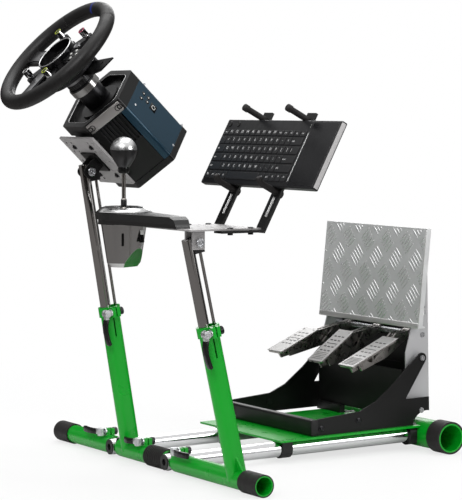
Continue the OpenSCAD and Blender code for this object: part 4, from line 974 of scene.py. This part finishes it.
# %% Pegs
def peg(steps, radius=6.0):
    """A round peg drawn along -Y of the arm: steps are (forward, turn up in degrees, radius factor)."""
    begin()
    bpy.ops.mesh.primitive_circle_add(vertices=20, radius=radius/1000, fill_type="NGON")
    piece = bpy.context.object
    edit(piece)
    bpy.ops.transform.rotate(value=math.radians(-90), orient_axis="X", center_override=(0, 0, 0))
    heading = Vector((0, -1, 0))
    here = Vector((0, 0, 0))
    for forward, lift, factor in steps:
        here = here + heading*forward/1000
        bpy.ops.mesh.extrude_region_move(TRANSFORM_OT_translate={"value": heading*forward/1000})
        if lift:
            bpy.ops.transform.rotate(value=math.radians(lift), orient_axis="X", center_override=here)
            heading = Matrix.Rotation(math.radians(-lift), 3, "X") @ heading
        if factor != 1:
            bpy.ops.transform.resize(value=(factor, factor, factor), center_override=here)
    leave(50)
    return piece

ARM_UP = 83
UPPER = [(44, 0, 1), (0.6, 0, 1.2), (9, 0, 1), (1.2, 0, 0.85), (0.8, 0, 0.6)]
LOWER = [(30, 0, 1), (5, 12, 1), (5, 14, 1), (5, 14, 1), (5, 0, 1), (1.4, 0, 0.85), (0.8, 0, 0.6)]
pegs = []
for x in ARM_X:
    pegs.append(moved(peg(UPPER), shift(x, 0.5, ARM_UP + CASE_L + 6)))
    pegs.append(moved(peg(LOWER), shift(x, 0.5, ARM_UP - 6)))
    for z in (ARM_UP - 6, ARM_UP + CASE_L + 6):
        knob = turned([(7, 4.6), (8, 5.4), (8, 11.6), (7, 12.8), (3, 13)], 28)
        pegs.append(moved(knob, shift(x, 0, z) @ Matrix.Rotation(math.radians(-90), 4, "X")))
peg_set = settle(joined(pegs), "rubber_pegs", rubber, "tray_table", ARM)
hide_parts("keyboard_pegs")
print("pegs drawn")

# %% Pale strips inside the arms' slots: painted light for the bright line seen through each slot
# Painted light: satin strips on both walls of each slot stand for the light that shows through it.
edges = []
for x in ARM_X:
    for low, high in ((27, 69), (101, 211)):
        edges.append(block((0.8, 4.6, high - low), (x - 3.7, 2.5, (low + high)/2), 0.3, 1))
        edges.append(block((0.8, 4.6, high - low), (x + 3.7, 2.5, (low + high)/2), 0.3, 1))
settle(joined(edges), "arm_slot_painted_light_lines", satin, "tray_table", ARM)
print("slot edges set")

# %% [markdown]
# ## The tread plate
# Behind the pedals stands a sheet of tread plate. Its pattern is groups of five raised bars, each row leaning
# the other way, a chequer turned by 45 degrees. One lens-shaped bar is made from a sphere and copied, cut
# shorter where it would cross the edge of the sheet.

# %% Raised bars
SHEET_HALF = 187
SHEET_L = 206
CELL = 51.6
ROW_STEP = CELL/math.sqrt(2)
COLUMN_STEP = CELL*math.sqrt(2)
BAR_HALF = 19
BAR_STEP = 8.6

def clipped(centre, heading):
    """The part of a bar that stays on the sheet, as (start, end) along its heading."""
    low, high = -BAR_HALF, BAR_HALF
    for value, way, least, most in ((centre[0], heading[0], -SHEET_HALF, SHEET_HALF),
                                    (centre[1], heading[1], -SHEET_L, -3)):
        a, b = sorted(((least - value)/way, (most - value)/way))
        low, high = max(low, a), min(high, b)
    return low, high

# The bent edges are the sheet's own aluminium; their lighter grey is a painted highlight where the bends face
# the light.
bend_metal_painted_highlight = bare_metal("bent_edge_painted_highlight_metal", (0.80, 0.80, 0.79), 0.5, (40, 4, 4), 0.08, 0.00003)
begin()
bpy.ops.mesh.primitive_uv_sphere_add(segments=12, ring_count=6, radius=0.5)
lens_bar = bpy.context.object
bpy.ops.object.shade_smooth()
spots = []
for row in range(7):
    turn = math.radians(42 if row % 2 else -42)
    heading = (math.cos(turn), math.sin(turn))
    for column in range(-3, 4):
        cell = (column*COLUMN_STEP + (row % 2)*COLUMN_STEP/2 + 12, 4 - row*ROW_STEP)
        for step in range(-2, 3):
            centre = (cell[0] - heading[1]*step*BAR_STEP, cell[1] + heading[0]*step*BAR_STEP)
            low, high = clipped(centre, heading)
            if high - low < 7:
                continue
            place = (centre[0] + heading[0]*(low + high)/2, centre[1] + heading[1]*(low + high)/2)
            spots.append(shift(place[0], place[1], 0) @ Matrix.Rotation(turn, 4, "Z")
                         @ Matrix.Diagonal(((high - low)/1000, 0.0044, 0.0028, 1)))
bars = repeated(lens_bar, spots)
# The bars are the sheet's own aluminium; their grey is set a little darker than the sheet's as painted shade
# for their shadow sides.
bar_metal_painted_shade = bare_metal("tread_bar_metal", (0.66, 0.665, 0.665), 0.30, (4, 4, 4), 0.08, 0.00003,
                       metal=0.75)
settle(bars, "tread_bars", bar_metal_painted_shade, "floor_frame", TREAD)
bend = block((379, 12, 5), (0, -204, -1.2), 2.2, 3)
settle(bend, "tread_lower_bend", bend_metal_painted_highlight, "floor_frame", TREAD)
edge = block((3.6, 196, 6), (188.0, -101, -2.2), 1.4, 2)
settle(edge, "tread_side_bend", bend_metal_painted_highlight, "floor_frame", TREAD)
print("tread bars:", len(spots))

# %% Screws of the tread plate
screw = turned([(2.2, -0.5), (2.2, 0.5), (1.6, 0.9), (0.9, 0.9), (0.8, 0.4)], 14)
spots = [shift(x, y, 0) for x, y in ((-118, -62), (-118, -92), (105, -98), (-150, -196), (105, -62))]
settle(repeated(screw, spots), "tread_screws", bolt_steel, "floor_frame", TREAD)
print("tread screws set")

# %% [markdown]
# ## Pedal faces
# The pedals are polished castings with bolted faces. Ribs across the lower end keep the shoe from slipping,
# dark marks stand above them, and small screws hold the face on. Each set rides on its own pedal.

# %% Ribs and screws of the faces
FACES = {"clutch": (-160, (407, 141), (506, 184), 0), "brake": (-48, (438, 128), (523, 188), 5),
         "throttle": (64, (443, 128), (560, 180), 6)}
face_metal = bare_metal("face_aluminium", (0.42, 0.415, 0.41), 0.42, (30, 3, 3), 0.08, 0.00002, metal=0.8)
for name, (x, tip, top, ribs) in FACES.items():
    rise = math.degrees(math.atan2(top[1] - tip[1], top[0] - tip[0]))
    face = PLATE @ turned_x(Vector((x, tip[0], tip[1]))/1000, rise)
    length = math.dist(tip, top)
    sheet = block((54.4, length - 1.6, 1.6), (0, length/2, 0.4), 0.5, 1)
    settle(sheet, f"{name}_face_sheet", face_metal, name, face)
    details = []
    for i in range(ribs):
        details.append(block((44, 1.9, 1.8), (0, 9 + 4.8*i, 1.3), 0.6, 1))
    screw = turned([(2.4, -0.4), (2.4, 0.7), (1.8, 1.1), (1.0, 1.1), (0.9, 0.5)], 14)
    details.append(repeated(screw, [shift(s*19, v, 1) for s in (-1, 1) for v in (0.93*length, 0.52*length)]))
    dark = []
    for u in (0.34, 0.46, 0.66, 0.78):
        dark += [block((9, 3.4, 0.8), (i*14, u*length, 1.15), 0.3, 1) for i in (-1, 0, 1)]
    dark.append(block((40, 2.2, 0.8), (0, 0.56*length, 1.15), 0.3, 1))
    settle(joined(dark), f"{name}_face_marks", black_metal, name, face)
    settle(joined(details), f"{name}_face_detail", face_metal, name, face)
print("pedal faces dressed")

# %% Guard's rear sheet, bracket bolts and the front bar's end caps
SET_LEFT, SET_RIGHT = -226, 130
sheet = block((SET_RIGHT - SET_LEFT - 44, 2, 62), (PEDAL_X, WHEELBASE + 15, 88), 0.4, 1)
settle(sheet, "guard_rear_sheet", black_paint, "floor_frame", PLATE)
stud = turned([(6.4, -2.6), (6.4, -2.0), (4.6, -1.8), (4.6, 5.0), (6.4, 5.2), (6.4, 6.0), (4.4, 6.6),
               (4.2, 8.2), (3.4, 9.0)], 24)
spots = []
for edge, way in ((SET_LEFT, -90), (SET_RIGHT, 90)):
    for y, z in ((WHEELBASE - 172, 22), (339, 14)):
        spots.append(shift(edge, y, z) @ Matrix.Rotation(math.radians(way), 4, "Y") @ shift(0, 0, -4.6))
settle(repeated(stud, spots), "bracket_studs", black_metal, "floor_frame", PLATE)
cap = block((3, 17, 33), (0, 322, 17), 0.8, 2)
caps = joined([moved(copy_of(cap), shift(SET_LEFT - 0.9, 0, 0)), moved(cap, shift(SET_RIGHT + 0.9, 0, 0))])
settle(caps, "front_bar_caps", plug_plastic, "floor_frame", PLATE)
print("guard and brackets closed")

# %% [markdown]
# ## Clamp levers
# Each clamp is drawn shut by a cast cam of bright metal with a black curved handle. The frame's lever is one
# plain solid, so each one is replaced by a cam, turned and slotted, and a handle that is bent as it is drawn.

# %% One lever, made and copied
def lever_parts(length):
    """A bright cam and a dark handle, drawn about the pin along Z with the handle towards +X."""
    cam = turned([(6.6, -8), (7.4, -7.4), (7.4, -3.6), (6.9, -3.4), (6.9, 3.4), (7.4, 3.6), (7.4, 7.4),
                  (6.6, 8)], 32)
    pin = turned([(3.4, -8.4), (3.6, -8.2), (3.6, 8.2), (3.4, 8.4)], 16)
    neck = block((14, 9, 11), (6.5, -2.0, 0), 2.0, 2)
    handle = slab([(11, -7.4), (24, -11.4), (0.55*length, -12.2), (0.8*length, -11), (length - 2, -8.6),
                   (length, -5), (length - 3, -0.6), (0.8*length, -2.6), (0.55*length, -4.4), (24, -2.6),
                   (11, 2.4)],
                  -5.8, 5.8, 1.6)
    return joined([cam, pin, neck]), handle

def clamp_lever(label, node, body, matrix, length):
    """Sets a cam and a handle in place of a plain lever."""
    cam, handle = lever_parts(length)
    settle(cam, f"{label}_cam", cast_metal, body, matrix)
    settle(handle, f"{label}_handle", lever_plastic, body, matrix)
    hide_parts(node)
    return cam

CLAMP_Z = FRONT_AXIS + 25.5
LEVER_Y = -19.3
LONG_HANDLE = 66
SHORT_HANDLE = 48
COLLAR_X = 23.8
COLLAR_Z = 290
to_left = Matrix.Rotation(math.radians(180), 4, "Y")
to_floor = Matrix.Rotation(math.radians(90), 4, "Y")

def on_sleeve(x):
    """A frame on a clamp of the front tube."""
    return Matrix.Translation(at(x, LEVER_Y, CLAMP_Z))

def on_collar(x, lean):
    """A frame on the clamp at the top of a column."""
    return turned_x(at(x, 0, FRONT_AXIS), lean) @ shift(COLLAR_X, LEVER_Y, COLLAR_Z) @ to_floor

clamp_lever("left_clamp", "left_lever", "left_clamp_lever", on_sleeve(-157) @ to_left, LONG_HANDLE)
clamp_lever("fold_clamp", "fold_lever", "fold_clamp_lever", on_sleeve(5) @ to_left, SHORT_HANDLE)
clamp_lever("module_clamp", "module_sleeve_lever", "module_clamp_lever", on_sleeve(152), LONG_HANDLE)
clamp_lever("main_collar", "main_post_lever", "main_collar_lever", on_collar(-62, 9.5), LONG_HANDLE)
clamp_lever("module_collar", "module_post_lever", "module_collar_lever", on_collar(362, 12.5), LONG_HANDLE)
print("five clamp levers")

# %% Ring nuts at the other end of each clamp bolt
nut = turned([(7.6, 0), (8.0, 0.5), (8.0, 7.0), (7.4, 7.8), (5.2, 7.8), (4.8, 5.6)], 30)
end = turned([(4.6, 5), (4.6, 8.6), (3.8, 9.6), (1.4, 9.8)], 18)
to_back = Matrix.Rotation(math.radians(-90), 4, "X")
NUT_Y = 8.6
PLACES = {"left_clamp": (at(-157, 0, CLAMP_Z), 0, "floor_frame"),
          "fold_clamp": (at(5, 0, CLAMP_Z), 0, "main_column"),
          "module_clamp": (at(152, 0, CLAMP_Z), 0, "module_column")}
for label, (place, lean, body) in PLACES.items():
    matrix = turned_x(place, lean) @ shift(0, NUT_Y, 0) @ to_back
    settle(copy_of(nut), f"{label}_nut", black_metal, body, matrix)
    settle(copy_of(end), f"{label}_bolt_end", bolt_steel, body, matrix)
for label, x, lean, body in (("main_collar", -62, 9.5, "main_column"),
                             ("module_collar", 362, 12.5, "module_column")):
    matrix = turned_x(at(x, 0, FRONT_AXIS), lean) @ shift(COLLAR_X, NUT_Y, COLLAR_Z) @ to_back
    settle(copy_of(nut), f"{label}_nut", black_metal, body, matrix)
    settle(copy_of(end), f"{label}_bolt_end", bolt_steel, body, matrix)
for piece in (nut, end):
    bpy.data.objects.remove(piece)
print("ring nuts set")

# %% End
print("the stand is dressed")
